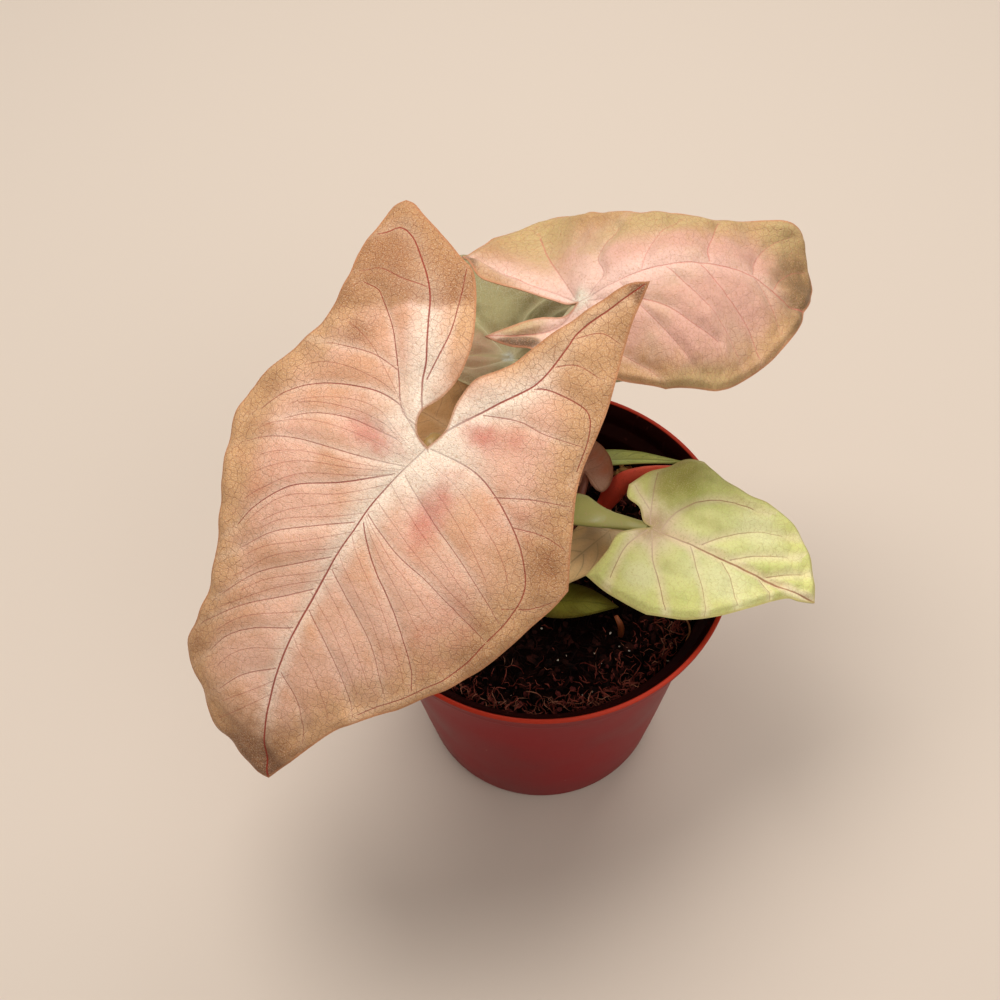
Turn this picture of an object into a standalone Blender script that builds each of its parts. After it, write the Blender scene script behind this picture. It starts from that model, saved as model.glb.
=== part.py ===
"""Potted arrowhead vine (syngonium): a 10.5 cm nursery pot, its soil, nine leaves on their
stalks, a rolled new leaf and an old stub. The origin is the middle of the pot's underside, +X is
to the right of the front view and +Y points away from it. All sizes below are in millimetres."""
import math

import bmesh
import bpy
import numpy as np
from mathutils import Vector, noise

MM = 0.001
GAP = 0.35                    # clearance between neighbouring pieces

# pot: radii of the outside, heights from the underside
POT_HEIGHT = 94.0
BASE_RADIUS = 36.0
BODY_RADIUS = 47.2            # just under the collar
COLLAR_FOOT = 84.5
COLLAR_RADIUS = 50.6
LIP_RADIUS = 52.5
LIP_HEIGHT = 1.6
WALL = 1.2
POT_STEPS = 56
DRAIN_RADIUS = 3.2
DRAIN_CIRCLE = 23.0
DRAIN_COUNT = 8

# soil
SOIL_LEVEL = 76.0
SOIL_RINGS = 13
SOIL_LUMP = 1.5               # height of the lumps
BURIED = 12.0                 # depth of a stalk in its hole
SECTION_STEP = 2.2            # least distance between a stalk's sections

BLADE = 0.7                   # thickness of a leaf

# half of a plain juvenile blade, as fractions of its half width and its length
HALF_BLADE = {
    "front": [(0, 1), (0.12, 0.92), (0.40, 0.74), (0.70, 0.52), (0.93, 0.27), (1.0, 0.06)],
    "back": [(1.0, 0.06), (0.98, -0.12), (0.86, -0.30), (0.68, -0.42), (0.52, -0.45)],
    "sinus": [(0.52, -0.45), (0.36, -0.39), (0.18, -0.25), (0.08, -0.10), (0, 0)],
    "vein": [(0, 0), (0.20, -0.13), (0.40, -0.31), (0.52, -0.45)]}


def plain_blade(length, right, left, lobe=1.0):
    """Outline of a small leaf from its length, the widths of its two halves and how far its lobes go"""
    def half(width):
        return {part: [(a * width, b * length * (1 if b > 0 else lobe)) for a, b in points]
                for part, points in HALF_BLADE.items()}
    return {"spine": [(0, length), (0, 0.6 * length), (0, 0.3 * length), (0, 0)],
            "right": half(right), "left": half(-left)}


# Flat outlines of the three large blades: (across, along) from the joint, along towards the tip.
# spine is the midrib. Each side runs tip, widest place, lobe tip, joint, with its main lobe vein.
FRONT_BLADE = {
    "spine": [(1.8, 98), (5, 88.5), (8, 74), (8.6, 55), (7.2, 33), (4, 15), (0, 0)],
    "right": {
        "front": [(1.8, 98), (12, 97.2), (21, 94.5), (28.5, 88.5), (34.6, 83), (36.8, 77), (35.6, 68),
                  (36, 54), (39, 44), (43.5, 33), (49.2, 20), (50, 11)],
        "back": [(50, 11), (47.5, 4), (41, -9.5), (38.8, -18), (40.5, -34), (41.8, -45), (40, -52)],
        "sinus": [(40, -52), (30.5, -48.3), (17, -42.7), (11, -39.5), (3.5, -28), (1.4, -20), (2.2, -12.5),
                  (5.2, -6.5), (3.6, -1.8), (0, 0)],
        "vein": [(0, 0), (4.4, -0.4), (7.6, -4.5), (9.6, -12), (13.5, -22), (20, -33), (30, -42.5), (40, -52)]},
    "left": {
        "front": [(1.8, 98), (-4.8, 84.2), (-11.7, 71), (-22.6, 58.5), (-35, 41), (-43, 21), (-45.3, 12)],
        "back": [(-45.3, 12), (-40.4, 1.2), (-35.3, -11.5), (-33.1, -27.4), (-28.4, -45), (-26.5, -57.5)],
        "sinus": [(-26.5, -57.5), (-21.7, -53.6), (-14.9, -40.3), (-8.5, -26.5), (-2.4, -18.7), (-1.2, -12.3),
                  (-2, -5.5), (0, 0)],
        "vein": [(0, 0), (-3.8, -6.1), (-8.6, -13.5), (-14.3, -21.3), (-18.3, -30), (-20, -41), (-26.5, -57.5)]}}
BACK_BLADE = {
    "spine": [(10.9, 63), (10, 59), (6.6, 53.5), (3.2, 48), (1.2, 40), (0, 28), (-0.4, 18), (0, 0)],
    "right": {
        "front": [(10.9, 63), (14.5, 61.5), (20.7, 56), (26, 51), (30.6, 45), (32.6, 38), (32.5, 30),
                  (29.5, 12.5)],
        "back": [(29.5, 12.5), (23, 2), (14, -6), (8.5, -13), (7.4, -18), (6.2, -22), (4.3, -25)],
        "sinus": [(4.3, -25), (2.2, -19), (0.4, -10), (1.5, -4), (0, 0)],
        "vein": [(0, 0), (3.5, -6), (4.5, -14), (4.3, -25)]},
    "left": {
        "front": [(10.9, 63), (7, 67), (1, 71.8), (-4.5, 72.4), (-9.5, 71.8), (-13, 69.5), (-15.3, 65),
                  (-16.8, 59), (-17.6, 52), (-17, 44), (-18.2, 34), (-20.9, 23.4), (-30.3, 7.2)],
        "back": [(-30.3, 7.2), (-37, -1), (-39, -6), (-31, -14), (-22, -24.3)],
        "sinus": [(-22, -24.3), (-15, -23.4), (-11.4, -20.3), (-8.7, -12.8), (-5, -6.6), (-1.4, -3), (0, 0)],
        "vein": [(0, 0), (-8, -6), (-16, -14), (-22, -24.3)]}}
MIDDLE_BLADE = {
    "spine": [(0, 42), (0, 25), (0, 10), (0, 0)],
    "right": {
        "front": [(0, 42), (4.5, 35), (9, 24), (12.5, 12), (13.5, 4)],
        "back": [(13.5, 4), (11.5, -4), (8.8, -9), (5.9, -14), (3, -19)],
        "sinus": [(3, -19), (1.0, -14), (0.3, -8), (0.6, -3), (0, 0)],
        "vein": [(0, 0), (3, -6), (4, -12), (3, -19)]},
    "left": {
        "front": [(0, 42), (-8, 36), (-18, 25), (-26, 12), (-31, 2)],
        "back": [(-31, 2), (-36, -6), (-39, -14), (-38, -21)],
        "sinus": [(-38, -21), (-28, -24), (-16, -22), (-6, -17.5), (-0.8, -12), (-0.4, -4), (0, 0)],
        "vein": [(0, 0), (-8, -6), (-17, -12), (-28, -17), (-38, -21)]}}
GREEN_BLADE = {
    "spine": [(-1.7, 49), (-0.4, 38), (0, 20), (0, 0)],
    "right": {
        "front": [(-1.7, 49), (0.7, 44), (2, 40), (9.5, 31.6), (16, 24), (20.5, 16.5), (23.2, 7)],
        "back": [(23.2, 7), (22.5, 0), (21.3, -6), (19.8, -11)],
        "sinus": [(19.8, -11), (11.5, -8.4), (5.5, -7.4), (2.4, -4), (0, 0)],
        "vein": [(0, 0), (6, -2.5), (13, -7), (19.8, -11)]},
    "left": {
        "front": [(-1.7, 49), (-7.5, 46.7), (-13.4, 43.4), (-19, 36.5), (-21, 28), (-20.7, 20), (-25.4, 7)],
        "back": [(-25.4, 7), (-23.5, 2), (-19, -1.5), (-15, -6), (-9.5, -9.5)],
        "sinus": [(-9.5, -9.5), (-5.8, -8.5), (-4.2, -4.8), (-0.8, -2.4), (0, 0)],
        "vein": [(0, 0), (-4, -1), (-8, -4.5), (-9.5, -9.5)]}}

# Each leaf: where its joint is, the way its tip heads, how far it droops and rolls there in degrees,
# then how the blade bends. nose and the lobes list (from, to, degrees down) along the blade; fold is
# the rise of each half at the midrib, gone between the two lengths of fold_fade; curl is the turn
# down in degrees per mm across; dents are (across, along, half width, half length, height). The
# stalk follows its route from the soil to its neck, which is a distance behind the joint and one
# below it; its sections are given as (half width, half thickness) from the soil up.
LEAVES = [
    {"name": "front", "blade": FRONT_BLADE, "rows": (18, 10, 8, 3), "colour": (0.78, 0.42, 0.30),
     "joint": (-26.9, -13.9, 165.0), "heading": 232, "droop": 33, "roll": 4,
     "nose": [(0, 70, 14), (62, 100, 22)], "lobes": ([(0, 30, 4), (20, 38, 24)], [(0, 40, 6)]),
     "fold": (10, 10), "fold_fade": (20, 85), "curl": (0.75, 0.55), "dents": [],
     "route": [(-6, -3), (-7.0, -3.5, 100), (-15, -7, 135)], "neck": (2.5, 6),
     "stalk": [(3.0, 2.6), (2.5, 2.2), (1.8, 1.7), (1.7, 1.6)], "stalk_colour": (0.62, 0.36, 0.26)},
    {"name": "back", "blade": BACK_BLADE, "rows": (16, 8, 7, 3), "colour": (0.74, 0.44, 0.33),
     "joint": (10.4, 30.6, 160.0), "heading": 8, "droop": -36, "roll": -4,
     "nose": [(0, 50, 70), (54, 80, 10)], "lobes": ([(0, 12, -48)], [(0, 12, -60)]),
     "fold": (-12, -8), "fold_fade": (70, 130), "curl": (0.9, 0.6), "dents": [(-22, 66, 15, 13, 15.0), (-22, 36, 8, 12, 1.0)],
     "route": [(-4, 10), (-5, 14, 105), (0, 25, 140)], "neck": (5, 3),
     "stalk": [(2.8, 2.4), (2.3, 2.0), (1.7, 1.6), (1.6, 1.5)], "stalk_colour": (0.60, 0.62, 0.42)},
    {"name": "middle", "blade": MIDDLE_BLADE, "rows": (12, 8, 5, 3), "colour": (0.55, 0.52, 0.34),
     "joint": (-6.8, 44.8, 120.0), "heading": -5, "droop": -5, "roll": 2,
     "nose": [(0, 42, 24)], "lobes": ([(0, 14, -12)], [(0, 30, 8)]),
     "fold": (6, 6), "fold_fade": (20, 45), "curl": (0.5, 0.5), "dents": [],
     "route": [(2, 15), (3, 25, 98), (-1, 39, 112)], "neck": (0, 4),
     "stalk": [(2.2, 2.0), (1.9, 1.7), (1.4, 1.3), (1.4, 1.3)], "stalk_colour": (0.60, 0.60, 0.42)},
    {"name": "rear", "blade": plain_blade(36, 20, 16), "rows": (10, 5, 4, 2), "colour": (0.42, 0.26, 0.13),
     "joint": (-19.0, 25.0, 110.0), "heading": 135, "droop": 6, "roll": 0,
     "nose": [(0, 36, 30)], "lobes": ([(0, 16, 8)], [(0, 16, 8)]),
     "fold": (5, 5), "fold_fade": (15, 35), "curl": (0.5, 0.7), "dents": [],
     "route": [(-13, 5), (-15, 11, 90), (-16.5, 18, 102)], "neck": (3, 4),
     "stalk": [(2.0, 1.8), (1.7, 1.6), (1.3, 1.2), (1.3, 1.2)], "stalk_colour": (0.50, 0.36, 0.22)},
    {"name": "green", "blade": GREEN_BLADE, "rows": (12, 7, 6, 2), "colour": (0.48, 0.58, 0.16),
     "joint": (28.4, -6.6, 112.5), "heading": -23, "droop": 8, "roll": -4,
     "nose": [(0, 45, 22)], "lobes": ([(0, 14, -6)], [(0, 14, 10)]),
     "fold": (4, 6), "fold_fade": (30, 70), "curl": (0.5, 0.9), "dents": [(-22, 13, 4, 4, -1.2)],
     "route": [(3, 9), (3, 8.5, 92), (6.5, 4.5, 105.5), (14.6, -1.8, 111)], "neck": (6, 2.2),
     "stalk": [(3.0, 2.2), (3.6, 2.0), (5.2, 1.5), (5.2, 1.2), (2.4, 1.2), (1.5, 1.2)],
     "stalk_colour": (0.47, 0.60, 0.20)},
    {"name": "tan", "blade": plain_blade(28, 7, 8, 0.3), "rows": (8, 4, 3, 2), "colour": (0.46, 0.36, 0.20),
     "joint": (19.2, 2.3, 97.0), "heading": 215, "droop": 8, "roll": 0,
     "nose": [(0, 28, 22)], "lobes": ([(0, 10, 8)], [(0, 10, 8)]),
     "fold": (5, 5), "fold_fade": (10, 24), "curl": (0.6, 0.6), "dents": [],
     "route": [(14, 7), (17, 6, 87)], "neck": (2, 3),
     "stalk": [(1.7, 1.5), (1.3, 1.2), (1.2, 1.1)], "stalk_colour": (0.52, 0.42, 0.25)},
    {"name": "mauve", "blade": plain_blade(14, 8, 8), "rows": (8, 4, 3, 2), "colour": (0.50, 0.28, 0.22),
     "joint": (13.5, 23.5, 93.3), "heading": 90, "droop": -12, "roll": 0,
     "nose": [(0, 14, 20)], "lobes": ([(0, 8, 4)], [(0, 8, 4)]),
     "fold": (12, 12), "fold_fade": (6, 14), "curl": (1.2, 1.2), "dents": [],
     "route": [(9, 14), (11.5, 18, 86)], "neck": (2, 3),
     "stalk": [(1.6, 1.4), (1.2, 1.1), (1.1, 1.0)], "stalk_colour": (0.60, 0.32, 0.26)},
    {"name": "fresh", "blade": plain_blade(28, 3.2, 3.2, 0.4), "rows": (8, 4, 3, 2),
     "colour": (0.45, 0.58, 0.28),
     "joint": (16.5, 31.3, 87.3), "heading": -18, "droop": -26, "roll": 4,
     "nose": [(0, 28, 10)], "lobes": ([(0, 10, 4)], [(0, 10, 4)]),
     "fold": (20, 20), "fold_fade": (14, 28), "curl": (0.8, 0.8), "dents": [],
     "route": [(10, 30), (12, 31.5, 82)], "neck": (2, 1.5),
     "stalk": [(1.5, 1.3), (1.1, 1.0), (1.0, 1.0)], "stalk_colour": (0.50, 0.60, 0.30)},
    {"name": "olive", "blade": plain_blade(17, 5.5, 5.5), "rows": (8, 4, 3, 2), "colour": (0.30, 0.29, 0.04),
     "joint": (4.6, -12.9, 86.0), "heading": -2, "droop": 2, "roll": 0,
     "nose": [(0, 17, 24)], "lobes": ([(0, 8, 4)], [(0, 8, 4)]),
     "fold": (6, 6), "fold_fade": (8, 17), "curl": (2.0, 2.0), "dents": [],
     "route": [(0, -9), (1.0, -10.6, 82)], "neck": (2, 2),
     "stalk": [(1.5, 1.3), (1.1, 1.0), (1.0, 0.9)], "stalk_colour": (0.35, 0.36, 0.10)}]

# the rolled new leaf and the stub of an old stalk, standing in the soil
SPEAR_ROUTE = [(17, 17), (18.5, 19, 80.5), (21.2, 21, 85), (24.5, 22.1, 90), (28.7, 21.2, 95),
               (32.6, 20.3, 98), (37.5, 19.6, 100)]
SPEAR_WIDTHS = (1.9, 2.3, 2.9, 3.0, 2.6, 2.1, 1.6, 1.1, 0.6)
STUB_ROUTE = [(21.2, -18.6), (20.8, -18.1, 80.8), (19.8, -16.8, 82.8)]
STUB_WIDTHS = (0.9, 0.9, 0.8)


def ease(x):
    x = np.clip(x, 0, 1)
    return x * x * (3 - 2 * x)


def arc(start, turn, length):
    """Reach and rise at a length along an arc that starts at an angle and turns down"""
    turn = np.where(np.abs(turn) < 1e-7, 1e-7, turn)
    end = start - turn * length
    return (np.sin(start) - np.sin(end)) / turn, (np.cos(end) - np.cos(start)) / turn


def sweep(length, bends):
    """Reach, rise and droop at each length along a line that takes the listed bends"""
    step = 0.5
    grid = np.arange(0, max(1.0, float(np.max(length))) + 2 * step, step)
    droop = sum(math.radians(turn) * ease((grid - low) / (high - low)) for low, high, turn in bends)
    def total(rate):
        return np.concatenate([[0], np.cumsum((rate[1:] + rate[:-1]) * step / 2)])
    return (np.interp(length, grid, total(np.cos(droop))), np.interp(length, grid, total(-np.sin(droop))),
            np.interp(length, grid, droop))


def curve(points, count):
    """A smooth curve through the points, as count + 1 points at even distances"""
    points = np.asarray(points, float)
    ends = np.vstack([2 * points[0] - points[1], points, 2 * points[-1] - points[-2]])
    t = np.linspace(0, 1, 24, endpoint=False)[:, None]
    spans = [0.5 * (2 * b + (c - a) * t + (2 * a - 5 * b + 4 * c - d) * t ** 2 + (3 * b - a - 3 * c + d) * t ** 3)
             for a, b, c, d in zip(ends, ends[1:], ends[2:], ends[3:])]
    fine = np.vstack(spans + [points[-1:]])
    run = np.concatenate([[0], np.cumsum(np.linalg.norm(np.diff(fine, axis=0), axis=1))])
    stations = np.linspace(0, run[-1], count + 1)
    return np.stack([np.interp(stations, run, column) for column in fine.T], axis=1)


def leaf_axes(leaf):
    """Unit vectors at the joint: across to the right, along to the tip, out of the upper face"""
    heading, droop, roll = (math.radians(leaf[key]) for key in ("heading", "droop", "roll"))
    along = np.array([math.cos(heading) * math.cos(droop), math.sin(heading) * math.cos(droop), -math.sin(droop)])
    level = np.array([math.sin(heading), -math.cos(heading), 0.0])
    across = math.cos(roll) * level + math.sin(roll) * np.cross(level, along)
    return across, along, np.cross(across, along)


def bend(leaf, flat):
    """Places in space of flat blade points (across, along)"""
    across, along, out = leaf_axes(leaf)
    u, v = flat[:, 0], flat[:, 1]
    spine = curve(leaf["blade"]["spine"], 60)[::-1]
    middle = np.where(v < 0, 0, np.interp(v, spine[:, 1], spine[:, 0]))
    width = u - middle
    right = width > 0
    front, back = np.maximum(v, 0), np.maximum(-v, 0)
    nose = sweep(front, leaf["nose"])
    lobes = [np.where(right, *pair) for pair in zip(*(sweep(back, bends) for bends in leaf["lobes"]))]
    reach, rise, droop = nose[0] - lobes[0], nose[1] + lobes[1], nose[2] - lobes[2]
    low, high = leaf["fold_fade"]
    fold = np.where(right, *np.radians(leaf["fold"])) * (1 - ease((front - low) / (high - low)))
    side, up = arc(fold, np.where(right, *np.radians(leaf["curl"])), np.abs(width))
    side = np.where(right, side, -side) + middle
    for place_u, place_v, half_u, half_v, height in leaf["dents"]:
        up = up + height * np.exp(-((u - place_u) / half_u) ** 2 - ((v - place_v) / half_v) ** 2)
    normal = np.sin(droop)[:, None] * along + np.cos(droop)[:, None] * out
    return (np.array(leaf["joint"]) + reach[:, None] * along + rise[:, None] * out
            + side[:, None] * across + up[:, None] * normal)


def grow(bm, station, edge, border, rows):
    """Extrude a line of vertices row by row until it lies on the border"""
    start = [vert.co.copy() for vert in edge]
    current = edge
    for row in range(1, rows + 1):
        lines = [bm.edges.get(pair) for pair in zip(current, current[1:])]
        made = bmesh.ops.extrude_edge_only(bm, edges=lines)["geom"]
        current = sorted((item for item in made if isinstance(item, bmesh.types.BMVert)),
                         key=lambda vert: vert[station])
        for vert, here, there in zip(current, start, border):
            vert.co = here.lerp(Vector((*there, 0)), row / rows)


def skeleton(bm, station, path):
    """A chain of vertices numbered along a flat path"""
    verts = [bm.verts.new((*point, 0)) for point in path]
    for number, vert in enumerate(verts):
        vert[station] = number
    for pair in zip(verts, verts[1:]):
        bm.edges.new(pair)
    return verts


def blade_mesh(leaf):
    """The blade: flat rows from the veins to the margins, bent into place and thickened"""
    blade = leaf["blade"]
    along_rows, lobe_rows, outer_rows, inner_rows = leaf["rows"]
    bm = bmesh.new()
    station = bm.verts.layers.int.new("station")
    for name in ("right", "left"):
        side = blade[name]
        lobe = curve(side["vein"], lobe_rows)
        path = np.vstack([curve(blade["spine"], along_rows), lobe[1:]])
        border = np.vstack([curve(side["front"], along_rows), curve(side["back"], lobe_rows)[1:]])
        grow(bm, station, skeleton(bm, station, path), border, outer_rows)
        grow(bm, station, skeleton(bm, station, lobe), curve(side["sinus"], lobe_rows)[::-1], inner_rows)
    bmesh.ops.remove_doubles(bm, verts=bm.verts, dist=0.001)
    bmesh.ops.triangulate(bm, faces=bm.faces, quad_method="SHORT_EDGE")
    bmesh.ops.recalc_face_normals(bm, faces=bm.faces)
    if sum(face.normal.z * face.calc_area() for face in bm.faces) < 0:
        bmesh.ops.reverse_faces(bm, faces=bm.faces)
    for vert, place in zip(bm.verts, bend(leaf, np.array([vert.co.xy for vert in bm.verts]))):
        vert.co = place
    bm.normal_update()
    bmesh.ops.solidify(bm, geom=list(bm.faces), thickness=BLADE)
    bmesh.ops.recalc_face_normals(bm, faces=bm.faces)
    return bm


def stalk_mesh(route, halves, sides=8, end=None):
    """A stalk from its hole in the soil along its route. halves holds (half width, half thickness)
    pairs spread along it; end is the way its last section faces, where it meets a blade"""
    foot, rest = route[0], route[1:]
    points = [np.array([*foot, SOIL_LEVEL + 3.0]), *(np.array(point, float) for point in rest)]
    run = sum(np.linalg.norm(there - here) for here, there in zip(points, points[1:]))
    path = curve(points, int(np.clip(round(run / SECTION_STEP), 4, 11)))
    path = np.vstack([[*foot, SOIL_LEVEL - BURIED], path])
    turn = path[-1] - path[0]
    side = Vector((-turn[1], turn[0], 0)).normalized() if math.hypot(turn[0], turn[1]) > 0.1 else Vector((1, 0, 0))
    stations = np.linspace(0, 1, len(halves))
    bm = bmesh.new()
    bmesh.ops.create_circle(bm, cap_ends=True, segments=sides, radius=1)
    corner = bm.verts.layers.int.new("corner")
    for number, vert in enumerate(bm.verts):
        vert[corner] = number
    verts, cap = list(bm.verts), bm.verts[:] + bm.edges[:] + bm.faces[:]
    for number, place in enumerate(path):
        if number:
            cap = bmesh.ops.extrude_face_region(bm, geom=cap)["geom"]
            verts = sorted((item for item in cap if isinstance(item, bmesh.types.BMVert)),
                           key=lambda vert: vert[corner])
        share = max(0, number - 1) / (len(path) - 2)
        wide, thick = (np.interp(share, stations, [pair[k] for pair in halves]) for k in (0, 1))
        ahead = Vector(path[min(number + 1, len(path) - 1)] - path[max(number - 1, 0)]).normalized()
        if number < 2:
            ahead = Vector((0, 0, 1))
        if end is not None and number == len(path) - 1:
            ahead = Vector(end)
        axis_a = (side - side.project(ahead)).normalized()
        axis_b = ahead.cross(axis_a)
        for vert in verts:
            turn_angle = 2 * math.pi * vert[corner] / sides
            vert.co = (Vector(place) + axis_a * wide * math.cos(turn_angle)
                       + axis_b * thick * math.sin(turn_angle))
    bmesh.ops.triangulate(bm, faces=bm.faces)
    bmesh.ops.recalc_face_normals(bm, faces=bm.faces)
    return bm


def leaf_stalk(leaf):
    """The stalk of a leaf, ending just under the joint"""
    across, along, out = leaf_axes(leaf)
    sag = max(0.0, -min(leaf["fold"]))
    room = BLADE + GAP + 0.15 + leaf["stalk"][-1][0] * math.sin(math.radians(sag))
    top = np.array(leaf["joint"]) + 0.8 * along - room * out
    behind, below = leaf["neck"]
    route = [*leaf["route"], top - behind * along - below * out, top]
    return stalk_mesh(route, leaf["stalk"], end=out)


def finish(name, bm, colour, roughness=0.5, smooth_angle=40):
    """Turn a mesh in millimetres into a named object with its own material"""
    bmesh.ops.scale(bm, vec=(MM, MM, MM), verts=bm.verts)
    mesh = bpy.data.meshes.new(name)
    bm.to_mesh(mesh)
    bm.free()
    mesh.shade_smooth()
    mesh.set_sharp_from_angle(angle=math.radians(smooth_angle))
    material = bpy.data.materials.new(name)
    material.use_nodes = True
    shader = material.node_tree.nodes["Principled BSDF"]
    shader.inputs["Base Color"].default_value = (*colour, 1)
    shader.inputs["Roughness"].default_value = roughness
    material.diffuse_color = (*colour, 1)
    mesh.materials.append(material)
    piece = bpy.data.objects.new(name, mesh)
    bpy.context.collection.objects.link(piece)
    return piece


def turned(profile, steps):
    """A profile of (radius, height) points turned about the upright axis"""
    bm = bmesh.new()
    verts = [bm.verts.new((radius, 0, height)) for radius, height in profile]
    edges = [bm.edges.new(pair) for pair in zip(verts, verts[1:])]
    bmesh.ops.spin(bm, geom=verts + edges, cent=(0, 0, 0), axis=(0, 0, 1), angle=2 * math.pi,
                   steps=steps, use_merge=True)
    bmesh.ops.remove_doubles(bm, verts=bm.verts, dist=0.01)
    bmesh.ops.recalc_face_normals(bm, faces=bm.faces)
    return bm


def cut_holes(piece, holes, low, high, sides):
    """Cut upright round holes, given as (x, y, radius), out of a piece"""
    bm = bmesh.new()
    for x, y, radius in holes:
        made = bmesh.ops.create_cone(bm, cap_ends=True, segments=sides, radius1=radius, radius2=radius,
                                     depth=high - low)["verts"]
        bmesh.ops.translate(bm, vec=(x, y, (low + high) / 2), verts=made)
    cutter = finish(piece.name + "_holes", bm, (1, 1, 1))
    cutter.hide_render = True
    cutter.display_type = "WIRE"
    cut = piece.modifiers.new("holes", "BOOLEAN")
    cut.operation = "DIFFERENCE"
    cut.object = cutter


def wall_radius(height):
    """Outer radius of the pot's body at a height"""
    return BASE_RADIUS + (BODY_RADIUS - BASE_RADIUS) * height / COLLAR_FOOT


def make_pot():
    top, lip_foot = POT_HEIGHT, POT_HEIGHT - LIP_HEIGHT
    inner_base = wall_radius(WALL) - WALL
    profile = [(0, 0), (BASE_RADIUS - 1.2, 0), (BASE_RADIUS, 1.2), (BODY_RADIUS, COLLAR_FOOT),
               (COLLAR_RADIUS - 0.4, COLLAR_FOOT + 0.9), (COLLAR_RADIUS, COLLAR_FOOT + 1.8),
               (COLLAR_RADIUS + 0.5, lip_foot), (LIP_RADIUS - 0.5, lip_foot), (LIP_RADIUS, lip_foot + 0.5),
               (LIP_RADIUS, top - 0.5), (LIP_RADIUS - 0.5, top), (COLLAR_RADIUS - 0.5, top),
               (COLLAR_RADIUS - WALL, COLLAR_FOOT + 2.6), (BODY_RADIUS - WALL, COLLAR_FOOT + 0.8),
               (inner_base, WALL), (0, WALL)]
    pot = finish("pot", turned(profile, POT_STEPS), (0.33, 0.03, 0.025), 0.45, 30)
    ring = [2 * math.pi * number / DRAIN_COUNT for number in range(DRAIN_COUNT)]
    holes = [(DRAIN_CIRCLE * math.cos(angle), DRAIN_CIRCLE * math.sin(angle), DRAIN_RADIUS) for angle in ring]
    cut_holes(pot, holes, -2, 4, 12)


def soil_height(x, y):
    """Rise of the soil's lumpy top, with the rim of bark crumbs at the back"""
    lumps = noise.noise(Vector((x, y, 3.0)) / 6.0) + 0.6 * noise.noise(Vector((x, y, 9.0)) / 2.8)
    crumbs = sum(2.6 * math.exp(-((x - cx) ** 2 + (y - cy) ** 2) / 3.2)
                 for cx, cy in ((26.5, 32.0), (30.0, 30.5)))
    return SOIL_LUMP * lumps + crumbs


def make_soil(holes):
    floor = WALL + GAP
    side = [(wall_radius(height) - WALL - GAP, height) for height in (SOIL_LEVEL, floor)]
    top = [(side[0][0] * number / SOIL_RINGS, SOIL_LEVEL) for number in range(SOIL_RINGS)]
    bm = turned([*top, *side, (0, floor)], 44)
    for vert in bm.verts:
        if vert.co.z > SOIL_LEVEL - 0.01:
            vert.co.z += soil_height(vert.co.x, vert.co.y)
    soil = finish("soil", bm, (0.035, 0.018, 0.012), 0.95)
    cut_holes(soil, holes, SOIL_LEVEL - BURIED - GAP, SOIL_LEVEL + 8, 12)


def build():
    for piece in list(bpy.data.objects):
        bpy.data.objects.remove(piece)
    make_pot()
    holes = []
    for leaf in LEAVES:
        finish("leaf_" + leaf["name"], blade_mesh(leaf), leaf["colour"])
        finish("stalk_" + leaf["name"], leaf_stalk(leaf), leaf["stalk_colour"])
        holes.append((*leaf["route"][0], leaf["stalk"][0][0] + GAP))
    for name, route, widths, colour in (("new_leaf", SPEAR_ROUTE, SPEAR_WIDTHS, (0.60, 0.13, 0.08)),
                                        ("old_stub", STUB_ROUTE, STUB_WIDTHS, (0.42, 0.20, 0.10))):
        finish(name, stalk_mesh(route, [(width, width) for width in widths]), colour)
        holes.append((*route[0], widths[0] + GAP))
    make_soil(holes)


build()
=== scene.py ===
"""The look of the potted arrowhead vine: fine leaves with sunken veins, stalks, soil, pot and light.
Shapes are worked out in millimetres, as in the part's source, and scaled to metres at the end."""
import math
import random

import bmesh
import bpy
import numpy as np
from mathutils import Matrix, Vector, noise


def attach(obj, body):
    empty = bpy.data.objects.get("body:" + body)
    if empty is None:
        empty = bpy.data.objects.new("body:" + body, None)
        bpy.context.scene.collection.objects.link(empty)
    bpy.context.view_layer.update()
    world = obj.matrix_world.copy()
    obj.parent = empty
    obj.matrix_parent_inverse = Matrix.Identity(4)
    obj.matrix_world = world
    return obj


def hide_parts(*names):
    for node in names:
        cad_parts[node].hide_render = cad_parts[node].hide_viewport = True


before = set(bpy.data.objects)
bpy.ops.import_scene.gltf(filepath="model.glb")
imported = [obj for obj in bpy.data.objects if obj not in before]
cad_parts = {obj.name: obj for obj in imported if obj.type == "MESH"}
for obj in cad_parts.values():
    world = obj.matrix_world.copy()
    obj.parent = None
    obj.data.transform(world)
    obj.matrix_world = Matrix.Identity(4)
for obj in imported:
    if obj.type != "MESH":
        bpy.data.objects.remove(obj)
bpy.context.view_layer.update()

MM = 0.001
GAP = 0.35                    # clearance of the solids, repeated from the part's source
FINE_BLADE = 0.42             # thickness of a blade
EDGE_BLADE = 0.22             # at its margin
MIDRIB_SWELL = 0.5            # and what its main veins add below
STALK_LAP = 0.5               # how far a stalk's end lies past its joint
STALK_DEPTH = 0.35            # and how deep under the groove there
SOIL_LEVEL = 76.0
SOIL_REACH = 43.6             # fine bits are strewn over the soil as far out as this
WALL_REACH = 44.6             # and no fibre goes further out than this

POT_HEIGHT, BASE_RADIUS, BODY_RADIUS, COLLAR_FOOT = 94.0, 36.0, 47.2, 84.5
COLLAR_RADIUS, LIP_RADIUS, LIP_HEIGHT, WALL = 50.6, 52.5, 1.6, 1.2
DRAIN_RADIUS, DRAIN_CIRCLE, DRAIN_COUNT = 3.2, 23.0, 8

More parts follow.
